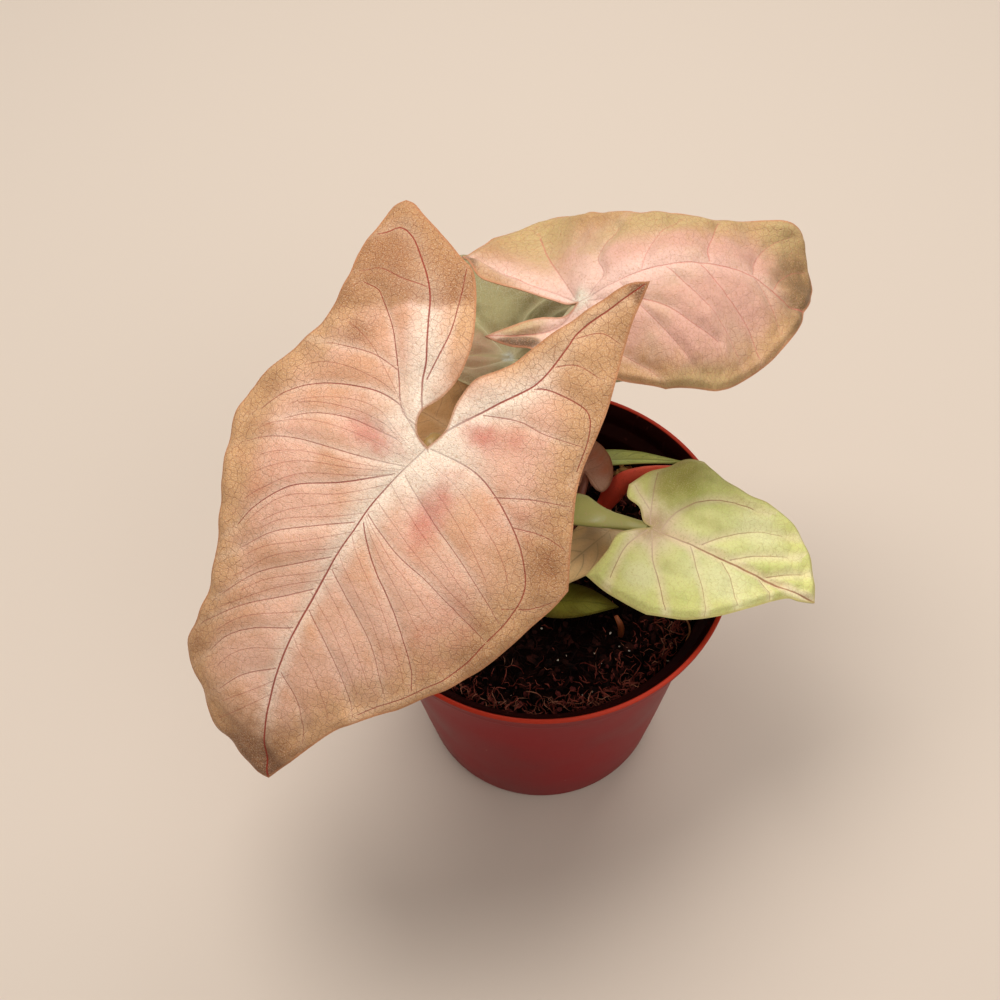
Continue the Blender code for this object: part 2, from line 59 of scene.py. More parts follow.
# half of a plain juvenile blade, as fractions of its half width and its length
HALF_BLADE = {
    "front": [(0, 1), (0.12, 0.92), (0.40, 0.74), (0.70, 0.52), (0.93, 0.27), (1.0, 0.06)],
    "back": [(1.0, 0.06), (0.98, -0.12), (0.86, -0.30), (0.68, -0.42), (0.52, -0.45)],
    "sinus": [(0.52, -0.45), (0.36, -0.39), (0.18, -0.25), (0.08, -0.10), (0, 0)],
    "vein": [(0, 0), (0.20, -0.13), (0.40, -0.31), (0.52, -0.45)]}


def plain_blade(length, right, left, lobe=1.0):
    """Outline of a small leaf from its length, the widths of its two halves and how far its lobes go"""
    def half(width):
        return {part: [(a * width, b * length * (1 if b > 0 else lobe)) for a, b in points]
                for part, points in HALF_BLADE.items()}
    return {"spine": [(0, length), (0, 0.6 * length), (0, 0.3 * length), (0, 0)],
            "right": half(right), "left": half(-left)}


# Flat outlines of the four larger blades: (across, along) from the joint, along towards the tip.
# spine is the midrib. Each side runs tip, widest place, lobe tip, joint, with its main lobe vein.
FRONT_BLADE = {
    "spine": [(1.8, 98), (5, 88.5), (8, 74), (8.6, 55), (7.2, 33), (4, 15), (0, 0)],
    "right": {
        "front": [(1.8, 98), (12, 97.2), (21, 94.5), (28.5, 88.5), (34.6, 83), (36.8, 77), (35.6, 68),
                  (36, 54), (39, 44), (43.5, 33), (49.2, 20), (50, 11)],
        "back": [(50, 11), (47.5, 4), (41, -9.5), (38.8, -18), (41, -34), (42.5, -44), (42.3, -48.6),
                 (40.2, -51.6)],
        "sinus": [(40.2, -51.6), (37.2, -51.3), (33.9, -49.8), (30.5, -48.3), (17, -42.7), (11, -39.5),
                  (3.5, -28), (1.4, -20), (2.2, -12.5), (5.2, -6.5), (3.6, -1.8), (0, 0)],
        "vein": [(0, 0), (4.4, -0.4), (7.6, -4.5), (9.6, -12), (13.5, -22), (20, -33), (30, -42.5),
                 (40.2, -51.6)]},
    "left": {
        "front": [(1.8, 98), (-4.8, 84.2), (-11.7, 71), (-22.6, 58.5), (-35, 41), (-43, 21), (-45.3, 12)],
        "back": [(-45.3, 12), (-40.4, 1.2), (-35.3, -11.5), (-33.1, -27.4), (-28.4, -45), (-26.5, -57.5)],
        "sinus": [(-26.5, -57.5), (-21.7, -53.6), (-14.9, -40.3), (-8.5, -26.5), (-2.4, -18.7), (-1.2, -12.3),
                  (-2, -5.5), (0, 0)],
        "vein": [(0, 0), (-3.8, -6.1), (-8.6, -13.5), (-14.3, -21.3), (-18.3, -30), (-20, -41),
                 (-26.5, -57.5)]}}
BACK_BLADE = {
    "spine": [(10.9, 63), (10, 59), (6.6, 53.5), (3.2, 48), (1.2, 40), (0, 28), (-0.4, 18), (0, 0)],
    "right": {
        "front": [(10.9, 63), (14.5, 61.5), (20.7, 56), (26, 51), (30.6, 45), (32.6, 38), (32.5, 30),
                  (29.5, 12.5)],
        "back": [(29.5, 12.5), (23, 2), (14, -6), (8.5, -13), (7.4, -18), (6.2, -22), (4.3, -25)],
        "sinus": [(4.3, -25), (2.2, -19), (0.4, -10), (1.5, -4), (0, 0)],
        "vein": [(0, 0), (3.5, -6), (4.5, -14), (4.3, -25)]},
    "left": {
        "front": [(10.9, 63), (7, 67), (1, 71.8), (-4.5, 72.4), (-9.5, 71.8), (-13, 69.5), (-15.3, 65),
                  (-16.8, 59), (-17.6, 52), (-17, 44), (-18.2, 34), (-20.9, 23.4), (-30.3, 7.2)],
        "back": [(-30.3, 7.2), (-37, -1), (-39, -6), (-31, -14), (-22, -24.3)],
        "sinus": [(-22, -24.3), (-15, -23.4), (-11.4, -20.3), (-8.7, -12.8), (-5, -6.6), (-1.4, -3), (0, 0)],
        "vein": [(0, 0), (-8, -6), (-16, -14), (-22, -24.3)]}}
MIDDLE_BLADE = {
    "spine": [(0, 42), (0, 25), (0, 10), (0, 0)],
    "right": {
        "front": [(0, 42), (4.5, 35), (9, 24), (12.5, 12), (13.5, 4)],
        "back": [(13.5, 4), (12.6, -4), (10.8, -9.8), (8.0, -14.6), (3, -19)],
        "sinus": [(3, -19), (0.2, -14), (-0.5, -8), (-0.3, -3), (0, 0)],
        "vein": [(0, 0), (3, -6), (4, -12), (3, -19)]},
    "left": {
        "front": [(0, 42), (-8, 36), (-18, 25), (-26, 12), (-31, 2)],
        "back": [(-31, 2), (-36, -6), (-39, -14), (-38, -21)],
        "sinus": [(-38, -21), (-28, -24), (-16, -22), (-6, -17.5), (-0.5, -13), (-0.55, -8), (-0.35, -3.5),
                  (0, 0)],
        "vein": [(0, 0), (-8, -6), (-17, -12), (-28, -17), (-38, -21)]}}
GREEN_BLADE = {
    "spine": [(-1.7, 49), (-0.4, 38), (0, 20), (0, 0)],
    "right": {
        "front": [(-1.7, 49), (0.7, 44), (2, 40), (9.5, 31.6), (16, 24), (20.5, 16.5), (23.2, 7)],
        "back": [(23.2, 7), (22.5, 0), (21.3, -6), (19.8, -11)],
        "sinus": [(19.8, -11), (11.5, -8.4), (5.5, -7.4), (2.4, -4), (0, 0)],
        "vein": [(0, 0), (6, -2.5), (13, -7), (19.8, -11)]},
    "left": {
        "front": [(-1.7, 49), (-7.5, 46.7), (-13.4, 43.4), (-19, 36.5), (-21, 28), (-20.7, 20), (-25.4, 7)],
        "back": [(-25.4, 7), (-23.5, 2), (-19, -1.5), (-15, -6), (-9.5, -9.5)],
        "sinus": [(-9.5, -9.5), (-5.8, -8.5), (-4.2, -4.8), (-0.8, -2.4), (0, 0)],
        "vein": [(0, 0), (-4, -1), (-8, -4.5), (-9.5, -9.5)]}}

# Veins listed for three of these blades, (across, along) from the midrib outwards
FRONT_VEINS = {
    "main": [
        [(1.8, 98), (5, 88.5), (8.1, 74.3), (8.9, 61), (8.4, 47.5), (7.3, 33.2), (6.2, 25.6), (5.3, 18.3),
         (2.9, 9), (0, 0)],
        [(0, 0), (5.4, -7.3), (8.5, -12.7), (10.1, -17.6), (14.2, -24.8), (19, -32.2), (26.4, -38.8),
         (32.1, -42.9), (36.9, -43.8), (40.3, -39.9)],
        [(0, 0), (-2.8, -6.1), (-7.9, -13.5), (-13.7, -21.3), (-16.5, -26.6), (-17.9, -35.4), (-18.7, -41.1),
         (-25.7, -56.1)]],
    "side": [
        [(4.4, -3), (9.4, -4.6), (14.9, -12.1), (20.7, -19.1), (26.6, -23.9), (30, -26.1), (34.6, -26.1)],
        [(7.7, -13.7), (8.2, -24.6), (11.4, -33.9), (14.2, -40.8)],
        [(0.6, 0.3), (7.7, -3.7), (11, -5.5), (18.6, -5.1), (30, -0.8), (38.4, 5.1), (43.8, 13.1)],
        [(3.9, 9.3), (14, 17.1), (23.3, 22.8), (27.8, 27.5), (31.7, 33.9), (34.2, 40.4)],
        [(0, 0), (-12.3, -0.9), (-20.2, 1.5), (-27.3, 5.8), (-32.7, 10.7), (-36.6, 17), (-36.5, 24.5),
         (-34.3, 32.2), (-31.1, 42.3), (-24.1, 52.9), (-14, 65.5)],
        [(4.7, 23), (-1.1, 29.1), (-9.3, 35), (-15.1, 40.3), (-21.1, 47.3), (-23.5, 52.7)],
        [(-15.6, -23.6), (-19.5, -25.2), (-26.6, -25.7), (-30.3, -24.5), (-32.6, -19.9), (-34.0, -12)]],
    "thin": [
        [(11.1, 2.2), (20, 3.3), (29, 6.8), (36, 12)],
        [(2.5, 6.5), (12.5, 9.5), (21.8, 11.8), (30, 14.1), (37.1, 17.4), (42.9, 21.8)],
        [(6, 23.2), (15.5, 29.7), (24.1, 36.3), (30.9, 45)],
        [(6.6, 32.8), (14.7, 39.4), (23.8, 47.7), (30.7, 58.3)],
        [(7.6, 42.4), (14.5, 48.6), (24.1, 57.2), (33.8, 69.1)],
        [(8.7, 54.2), (18.2, 60.1), (25, 67), (29, 75)],
        [(8.6, 65.8), (17, 73.6), (22, 82)],
        [(2.2, 7.8), (-8.6, 13.3), (-19.3, 17.7), (-27.7, 22.1), (-35.4, 26.8)],
        [(5.2, 20.5), (-5.3, 24.5), (-14.7, 26.4), (-23.6, 29), (-34.3, 32.2)],
        [(7.3, 36.5), (-0.7, 41.1), (-10.5, 47.9), (-18.6, 58.4)],
        [(8.4, 48.5), (-0.8, 54), (-8.6, 60.8), (-13.4, 66.7)],
        [(8.4, 66.3), (1.3, 70.7), (-2.4, 76.4), (-4, 82)],
        [(-8.3, -12.9), (-17, -15.8), (-23.5, -16.1), (-33.9, -18.2)],
        [(-20.6, 1.8), (-27.9, -1.8), (-36.5, -4.9)],
        [(-27.3, 5.8), (-34, 4), (-40, 4)],
        [(-36.5, 22), (-40, 20), (-43.5, 16)],
        [(19, -32.2), (26, -31), (33, -31), (38, -28)],
        [(14.9, -12.1), (22, -12.5), (29, -11), (36, -9)],
        [(-17.2, -30), (-22, -33), (-28, -33)],
        [(-18.2, -38), (-23, -42), (-28, -42)]]}
BACK_VEINS = {
    "main": [BACK_BLADE["spine"], BACK_BLADE["right"]["vein"], BACK_BLADE["left"]["vein"]],
    "side": [
        [(0, 2), (-4.1, 8.6), (-11, 8.3), (-17.5, 15.7)],
        [(1, 3), (4.2, 10.7), (9.7, 20.8), (16, 28.2), (21, 36)],
        [(1, 36), (-4, 37), (-10.1, 41.5), (-15, 45)],
        [(0.6, 33), (9, 39), (17, 45.7), (24.5, 49)],
        [(0, 0), (-12, -3), (-21, -4.5), (-31, -5)]],
    "thin": [
        [(0, 18), (-6, 21), (-12, 27), (-16, 35)],
        [(3.2, 48), (-3, 52), (-9, 58), (-12, 65)],
        [(6.6, 53.5), (2, 58), (-2, 64), (-4, 70)],
        [(0, 12), (8, 15), (17, 20), (26, 26)],
        [(2, 2), (9, 2), (17, 5), (26, 12)],
        [(0, 24), (8, 30), (16, 37), (26, 44)],
        [(3.2, 48), (10, 52), (17, 55)]]}
GREEN_VEINS = {
    "main": [[(-1.7, 49), (-0.4, 38), (0, 20), (0, 0)]],
    "side": [
        [(0, 0), (-4, -1.4), (-11.9, -3), (-16, -3.5)],
        [(0, 2.6), (-5.9, 4.4), (-10.8, 8), (-14.2, 12.3), (-16.4, 17.2), (-17, 24)],
        [(0, 0.4), (8.2, 3.4), (13.5, 6.9), (17, 9), (20.5, 11)],
        [(0, 0), (7, -4), (13.6, -4.9), (17.5, -5)]],
    "thin": [
        [(0, 13), (-6, 19), (-11, 26), (-14, 34)], [(-0.2, 22), (-5, 29), (-9, 37)],
        [(0, 11), (6, 15), (12, 19), (18, 21)], [(0, 20), (5, 24.5), (11, 28)],
        [(-0.4, 30), (2, 34), (5, 36)], [(-0.6, 33), (-4, 38), (-7, 43)],
        [(-4, -1.4), (-8, -6), (-10, -8)]]}


# Each leaf: rows are how many rows of faces lie along the spine and a lobe, and from there out to
# the outer margin and to the sinus. joint is its place, heading the way its tip goes, and droop and
# roll are in degrees there. nose and the two lobes list (from, to, degrees down) along the blade.
# fold is the rise of each half at the midrib, gone between the two lengths of fold_fade. curl is the
# turn down in degrees per mm across. dents are (across, along, half width, half length, height).
# route takes the stalk from the soil to its neck, which is a distance behind the joint and one below
# it, and stalk gives its sections as (half width, half thickness) from the soil up.
LEAF_KEYS = ("name", "blade", "rows", "joint", "heading", "droop", "roll", "nose", "lobes", "fold", "fold_fade",
             "curl", "dents", "route", "neck", "stalk")
LEAVES = [dict(zip(LEAF_KEYS, row)) for row in (
    ("front", FRONT_BLADE, (18, 10, 8, 3), (-26.9, -13.9, 165.0), 232, 33, 4, [(0, 70, 14), (62, 100, 22)],
     ([(0, 30, 4), (20, 38, 24)], [(0, 40, 6)]), (10, 10), (20, 85), (0.75, 0.55), [],
     [(-6, -3), (-7.0, -3.5, 100), (-15, -7, 135)], (2.5, 6), [(3.0, 2.6), (2.5, 2.2), (1.8, 1.7), (1.7, 1.6)]),
    ("back", BACK_BLADE, (16, 8, 7, 3), (10.4, 30.6, 160.0), 8, -36, -4, [(0, 50, 70), (54, 80, 10)],
     ([(0, 12, -48)], [(0, 12, -60)]), (-12, -8), (70, 130), (0.9, 0.6),
     [(-22, 66, 15, 13, 15.0), (-22, 36, 8, 12, 1.0)], [(-4, 10), (-5, 14, 105), (0, 25, 140)], (5, 3),
     [(2.8, 2.4), (2.3, 2.0), (1.7, 1.6), (1.6, 1.5)]),
    ("middle", MIDDLE_BLADE, (12, 8, 5, 3), (-6.8, 44.8, 120.0), -5, -5, 2, [(0, 42, 24)],
     ([(0, 14, -12)], [(0, 30, 8)]), (6, 6), (20, 45), (0.5, 0.5), [], [(2, 15), (3, 25, 98), (-1, 39, 112)],
     (0, 4), [(2.2, 2.0), (1.9, 1.7), (1.4, 1.3), (1.4, 1.3)]),
    ("rear", plain_blade(36, 20, 16), (10, 5, 4, 2), (-19.0, 25.0, 110.0), 135, 6, 0, [(0, 36, 30)],
     ([(0, 16, 8)], [(0, 16, 8)]), (5, 5), (15, 35), (0.5, 0.7), [],
     [(-13, 5), (-15, 11, 90), (-16.5, 18, 102)], (3, 4), [(2.0, 1.8), (1.7, 1.6), (1.3, 1.2), (1.3, 1.2)]),
    ("green", GREEN_BLADE, (12, 7, 6, 2), (28.4, -6.6, 112.5), -23, 8, -4, [(0, 45, 22)],
     ([(0, 14, -6)], [(0, 14, 10)]), (4, 6), (30, 70), (0.5, 0.9), [(-22, 13, 4, 4, -1.2)],
     [(3, 9), (3, 8.5, 92), (6.5, 4.5, 105.5), (14.6, -1.8, 111)], (6, 2.2),
     [(3.0, 2.2), (3.6, 2.0), (5.2, 1.5), (5.2, 1.2), (2.4, 1.2), (1.5, 1.2)]),
    ("tan", plain_blade(28, 7, 8, 0.3), (8, 4, 3, 2), (19.2, 2.3, 97.0), 215, 8, 0, [(0, 28, 22)],
     ([(0, 10, 8)], [(0, 10, 8)]), (5, 5), (10, 24), (0.6, 0.6), [], [(14, 7), (17, 6, 87)], (2, 3),
     [(1.7, 1.5), (1.3, 1.2), (1.2, 1.1)]),
    ("mauve", plain_blade(14, 8, 8), (8, 4, 3, 2), (13.5, 23.5, 93.3), 90, -12, 0, [(0, 14, 20)],
     ([(0, 8, 4)], [(0, 8, 4)]), (12, 12), (6, 14), (1.2, 1.2), [], [(9, 14), (11.5, 18, 86)], (2, 3),
     [(1.6, 1.4), (1.2, 1.1), (1.1, 1.0)]),
    ("fresh", plain_blade(28, 3.2, 3.2, 0.4), (8, 4, 3, 2), (16.5, 31.3, 87.3), -18, -26, 4, [(0, 28, 10)],
     ([(0, 10, 4)], [(0, 10, 4)]), (20, 20), (14, 28), (0.8, 0.8), [], [(10, 30), (12, 31.5, 82)], (2, 1.5),
     [(1.5, 1.3), (1.1, 1.0), (1.0, 1.0)]),
    ("olive", plain_blade(17, 5.5, 5.5), (8, 4, 3, 2), (4.6, -12.9, 86.0), -2, 2, 0, [(0, 17, 24)],
     ([(0, 8, 4)], [(0, 8, 4)]), (6, 6), (8, 17), (2.0, 2.0), [], [(0, -9), (1.0, -10.6, 82)], (2, 2),
     [(1.5, 1.3), (1.1, 1.0), (1.0, 0.9)]))]

# the rolled new leaf and the stub of an old stalk, standing in the soil
SPEAR_ROUTE = [(17, 17), (18.5, 19, 80.5), (21.2, 21, 85), (24.5, 22.1, 90), (28.7, 21.2, 95),
               (32.6, 20.3, 98), (37.5, 19.6, 100)]
SPEAR_WIDTHS = (1.9, 2.3, 2.9, 3.0, 2.6, 2.1, 1.6, 1.1, 0.6)
STUB_ROUTE = [(21.2, -18.6), (20.8, -18.1, 80.8), (19.8, -16.8, 82.8)]


def ease(x):
    x = np.clip(x, 0, 1)
    return x * x * (3 - 2 * x)


def arc(start, turn, length):
    """Reach and rise at a length along an arc that starts at an angle and turns down"""
    turn = np.where(np.abs(turn) < 1e-7, 1e-7, turn)
    end = start - turn * length
    return (np.sin(start) - np.sin(end)) / turn, (np.cos(end) - np.cos(start)) / turn


def sweep(length, bends):
    """Reach, rise and droop at each length along a line that takes the listed bends"""
    step = 0.5
    grid = np.arange(0, max(1.0, float(np.max(length))) + 2 * step, step)
    droop = sum(math.radians(turn) * ease((grid - low) / (high - low)) for low, high, turn in bends)
    def total(rate):
        return np.concatenate([[0], np.cumsum((rate[1:] + rate[:-1]) * step / 2)])
    return (np.interp(length, grid, total(np.cos(droop))), np.interp(length, grid, total(-np.sin(droop))),
            np.interp(length, grid, droop))


def curve(points, count):
    """A smooth curve through the points, as count + 1 points at even distances"""
    points = np.asarray(points, float)
    ends = np.vstack([2 * points[0] - points[1], points, 2 * points[-1] - points[-2]])
    t = np.linspace(0, 1, 24, endpoint=False)[:, None]
    spans = [0.5 * (2 * b + (c - a) * t + (2 * a - 5 * b + 4 * c - d) * t ** 2
                    + (3 * b - a - 3 * c + d) * t ** 3)
             for a, b, c, d in zip(ends, ends[1:], ends[2:], ends[3:])]
    fine = np.vstack(spans + [points[-1:]])
    run = np.concatenate([[0], np.cumsum(np.linalg.norm(np.diff(fine, axis=0), axis=1))])
    stations = np.linspace(0, run[-1], count + 1)
    return np.stack([np.interp(stations, run, column) for column in fine.T], axis=1)


def leaf_axes(leaf):
    """Unit vectors at the joint: across to the right, along to the tip, out of the upper face"""
    heading, droop, roll = (math.radians(leaf[key]) for key in ("heading", "droop", "roll"))
    along = np.array([math.cos(heading) * math.cos(droop), math.sin(heading) * math.cos(droop),
                      -math.sin(droop)])
    level = np.array([math.sin(heading), -math.cos(heading), 0.0])
    across = math.cos(roll) * level + math.sin(roll) * np.cross(level, along)
    return across, along, np.cross(across, along)


def bend(leaf, flat):
    """Places in space of flat blade points (across, along)"""
    across, along, out = leaf_axes(leaf)
    u, v = flat[:, 0], flat[:, 1]
    spine = curve(leaf["blade"]["spine"], 60)[::-1]
    middle = np.where(v < 0, 0, np.interp(v, spine[:, 1], spine[:, 0]))
    width = u - middle
    right = width > 0
    front, back = np.maximum(v, 0), np.maximum(-v, 0)
    nose = sweep(front, leaf["nose"])
    lobes = [np.where(right, *pair) for pair in zip(*(sweep(back, bends) for bends in leaf["lobes"]))]
    reach, rise, droop = nose[0] - lobes[0], nose[1] + lobes[1], nose[2] - lobes[2]
    low, high = leaf["fold_fade"]
    fold = np.where(right, *np.radians(leaf["fold"])) * (1 - ease((front - low) / (high - low)))
    side, up = arc(fold, np.where(right, *np.radians(leaf["curl"])), np.abs(width))
    side = np.where(right, side, -side) + middle
    for place_u, place_v, half_u, half_v, height in leaf["dents"]:
        up = up + height * np.exp(-((u - place_u) / half_u) ** 2 - ((v - place_v) / half_v) ** 2)
    normal = np.sin(droop)[:, None] * along + np.cos(droop)[:, None] * out
    return (np.array(leaf["joint"]) + reach[:, None] * along + rise[:, None] * out
            + side[:, None] * across + up[:, None] * normal)


def grow(bm, station, edge, border, rows):
    """Extrude a line of vertices row by row until it lies on the border"""
    start = [vert.co.copy() for vert in edge]
    current = edge
    for row in range(1, rows + 1):
        lines = [bm.edges.get(pair) for pair in zip(current, current[1:])]
        made = bmesh.ops.extrude_edge_only(bm, edges=lines)["geom"]
        current = sorted((item for item in made if isinstance(item, bmesh.types.BMVert)),
                         key=lambda vert: vert[station])
        for vert, here, there in zip(current, start, border):
            vert.co = here.lerp(Vector((*there, 0)), row / rows)


def skeleton(bm, station, path):
    """A chain of vertices numbered along a flat path"""
    verts = [bm.verts.new((*point, 0)) for point in path]
    for number, vert in enumerate(verts):
        vert[station] = number
    for pair in zip(verts, verts[1:]):
        bm.edges.new(pair)
    return verts


def plain_veins(blade, count):
    """Veins of a small leaf: the midrib, one to each lobe, and pairs that curve out to the margins"""
    spine = curve(blade["spine"], 40)[::-1]
    side, thin = [], []
    for half, sign in (("right", 1), ("left", -1)):
        margin = curve(blade[half]["front"], 40)[::-1]
        side.append(blade[half]["vein"])
        for number in range(count):
            share = 0.03 + 0.80 * number / count
            start, end = spine[int(40 * share)], margin[int(40 * min(0.94, share + 0.24))]
            sag = 0.10 * float(np.linalg.norm(end - start))
            middle = (start + end) / 2 + np.array([sign * sag, -sag])
            (thin if number % 2 else side).append([start, middle, end])
    return {"main": [blade["spine"]], "side": side, "thin": thin}


def between(first, second, count, rng):
    """Faint veins that run between two neighbouring ones"""
    first, second = curve(first, 14), curve(second, 14)
    lines = []
    for number in range(count):
        share = (number + 1 + rng.uniform(-0.15, 0.15)) / (count + 1)
        middle = first * (1 - share) + second * share
        wave = 0.35 * np.sin(np.linspace(0, rng.uniform(5, 9), 15) + rng.uniform(0, 6))
        ahead = np.gradient(middle, axis=0)
        ahead /= np.linalg.norm(ahead, axis=1, keepdims=True)
        middle = middle + wave[:, None] * ahead[:, ::-1] * (1, -1)
        lines.append(middle[:int(15 * rng.uniform(0.75, 1.0))])
    return lines


def vein_pieces(groups):
    """Straight pieces of the vein lines in groups of (lines, half width at the start and end, depth)"""
    rows = []
    for lines, thick, thin, depth in groups:
        for line in lines:
            line = np.asarray(line, float)
            run = float(np.linalg.norm(np.diff(line, axis=0), axis=1).sum())
            path = curve(line, max(4, int(run / 1.1)))
            half = np.linspace(thick, thin, len(path))
            for number in range(len(path) - 1):
                rows.append((*path[number], *path[number + 1], half[number], half[number + 1], depth,
                             number == len(path) - 2))
    rows = np.array(rows, float)
    return {"start": rows[:, 0:2], "end": rows[:, 2:4], "half": rows[:, 4:6], "depth": rows[:, 6],
            "last": rows[:, 7]}


def nearest(points, start, end, bias=0.0):
    """For each flat point the number of the closest straight piece, and how far away it is"""
    step = end - start
    size = np.maximum((step ** 2).sum(1), 1e-9)
    index, gap = np.empty(len(points), int), np.empty(len(points))
    for low in range(0, len(points), 2500):
        away = points[low:low + 2500, None] - start
        share = np.clip((away * step).sum(2) / size, 0, 1)
        distance = np.sqrt(((away - share[..., None] * step) ** 2).sum(2)) - bias
        best = distance.argmin(1)
        index[low:low + 2500] = best
        gap[low:low + 2500] = distance[np.arange(len(best)), best]
    return index, gap


def corner_lines(corners, face_of_corner, centres, pieces):
    """For each face corner: its signed offset to the vein closest to the face, the half width of
    that vein there, and the vein's depth. One vein per face keeps the line crisp."""
    chosen, _ = nearest(centres, pieces["start"], pieces["end"],
                        pieces["half"][:, 0] + 0.5 * (pieces["depth"] >= 1))
    piece = chosen[face_of_corner]
    start, step = pieces["start"][piece], (pieces["end"] - pieces["start"])[piece]
    size = np.maximum(np.linalg.norm(step, axis=1), 1e-9)
    away = corners - start
    share = (away * step).sum(1) / size ** 2
    offset = (away[:, 0] * step[:, 1] - away[:, 1] * step[:, 0]) / size
    half = pieces["half"][piece]
    wide = half[:, 0] + (half[:, 1] - half[:, 0]) * np.clip(share, 0, 1)
    wide -= 0.35 * pieces["last"][piece] * np.maximum(0, share - 1) * size
    return np.stack([offset, wide, pieces["depth"][piece]], axis=1)


def flat_blade(leaf, finer):
    """Fine flat rows of faces from the veins to the margins"""
    blade = leaf["blade"]
    along_rows, lobe_rows, outer_rows, inner_rows = (rows * finer for rows in leaf["rows"])
    bm = bmesh.new()
    station = bm.verts.layers.int.new("station")
    for name in ("right", "left"):
        side = blade[name]
        lobe = curve(side["vein"], lobe_rows)
        path = np.vstack([curve(blade["spine"], along_rows), lobe[1:]])
        border = np.vstack([curve(side["front"], along_rows), curve(side["back"], lobe_rows)[1:]])
        grow(bm, station, skeleton(bm, station, path), border, outer_rows)
        grow(bm, station, skeleton(bm, station, lobe), curve(side["sinus"], lobe_rows)[::-1], inner_rows)
    bmesh.ops.remove_doubles(bm, verts=bm.verts, dist=0.0005)
    bmesh.ops.recalc_face_normals(bm, faces=bm.faces)
    if sum(face.normal.z * face.calc_area() for face in bm.faces) < 0:
        bmesh.ops.reverse_faces(bm, faces=bm.faces)
    return bm


def outline(blade):
    """The closed margin of a flat blade as straight pieces"""
    sides = [np.vstack([curve(blade[name]["front"], 90), curve(blade[name]["back"], 50)[1:],
                        curve(blade[name]["sinus"], 50)[1:]]) for name in ("right", "left")]
    loop = np.vstack([sides[0], sides[1][::-1]])
    return loop[:-1], loop[1:]


def sway(flat, reach, seed):
    """Smooth noise over flat points, from about -1 to 1"""
    return np.array([noise.noise(Vector((u / reach, v / reach, seed))) for u, v in flat]) * 1.8


def attribute(mesh, name, domain, values):
    layer = mesh.attributes.new(name, "FLOAT_VECTOR", domain)
    layer.data.foreach_set("vector", np.ascontiguousarray(values, np.float32).ravel())


def blade_relief(flat, edge, from_main, from_vein, depth, quilt, groove, waves, seed):
    """How far each flat point lies over the plain blade, from its distances to margin and veins"""
    from_joint = np.linalg.norm(flat, axis=1)
    inward, outer = ease(edge / 4.0), ease(from_joint / 25)
    roll = quilt * np.exp(-((edge - 2.0) / 1.3) ** 2) * outer
    border = np.exp(-(edge / 9.0) ** 2) * outer
    return (roll + 0.9 * waves * border * sway(flat, 6.5, seed + 3.0)
            + quilt * (1 - np.exp(-(from_vein / 2.4) ** 2)) * inward
            - groove * depth * np.exp(-(from_vein / 0.8) ** 2) * ease(edge / 1.5)
            - 1.3 * groove * np.exp(-(from_main / 1.5) ** 2) * inward
            + waves * sway(flat, 13.0, seed) * ease(from_joint / 18)
            + 0.25 * quilt * sway(flat, 3.2, seed + 7.0) * inward)


def two_faces(name, bm, upper, lower):
    """The mesh of a blade with both faces and its rim, the source point of each of its points, and
    which of them are below"""
    number = bm.verts.layers.int.new("number")
    for count, vert in enumerate(bm.verts):
        vert[number] = count + 1
        vert.co = upper[count]
    made = bmesh.ops.extrude_face_region(bm, geom=bm.verts[:] + bm.edges[:] + bm.faces[:],
                                         use_keep_orig=True)["geom"]
    for vert in (item for item in made if isinstance(item, bmesh.types.BMVert)):
        vert.co = lower[vert[number] - 1]
        vert[number] = -vert[number]
    bmesh.ops.recalc_face_normals(bm, faces=bm.faces)
    mesh = from_bmesh(name, bm)
    mark = np.empty(len(mesh.vertices), int)
    mesh.attributes["number"].data.foreach_get("value", mark)
    for layer in ("number", "station"):
        mesh.attributes.remove(mesh.attributes[layer])
    return mesh, np.abs(mark) - 1, (mark < 0).astype(float)


def spot_masks(flat, spots):
    """Strength of the three spot colours at each flat point"""
    masks = np.zeros((len(flat), 3))
    for mask, u, v, half_u, half_v, *more in spots:
        crisp, strength = more or (1, 1)
        away = ((flat[:, 0] - u) / half_u) ** 2 + ((flat[:, 1] - v) / half_v) ** 2
        masks[:, mask] = np.maximum(masks[:, mask], strength * np.exp(-away ** crisp))
    return masks


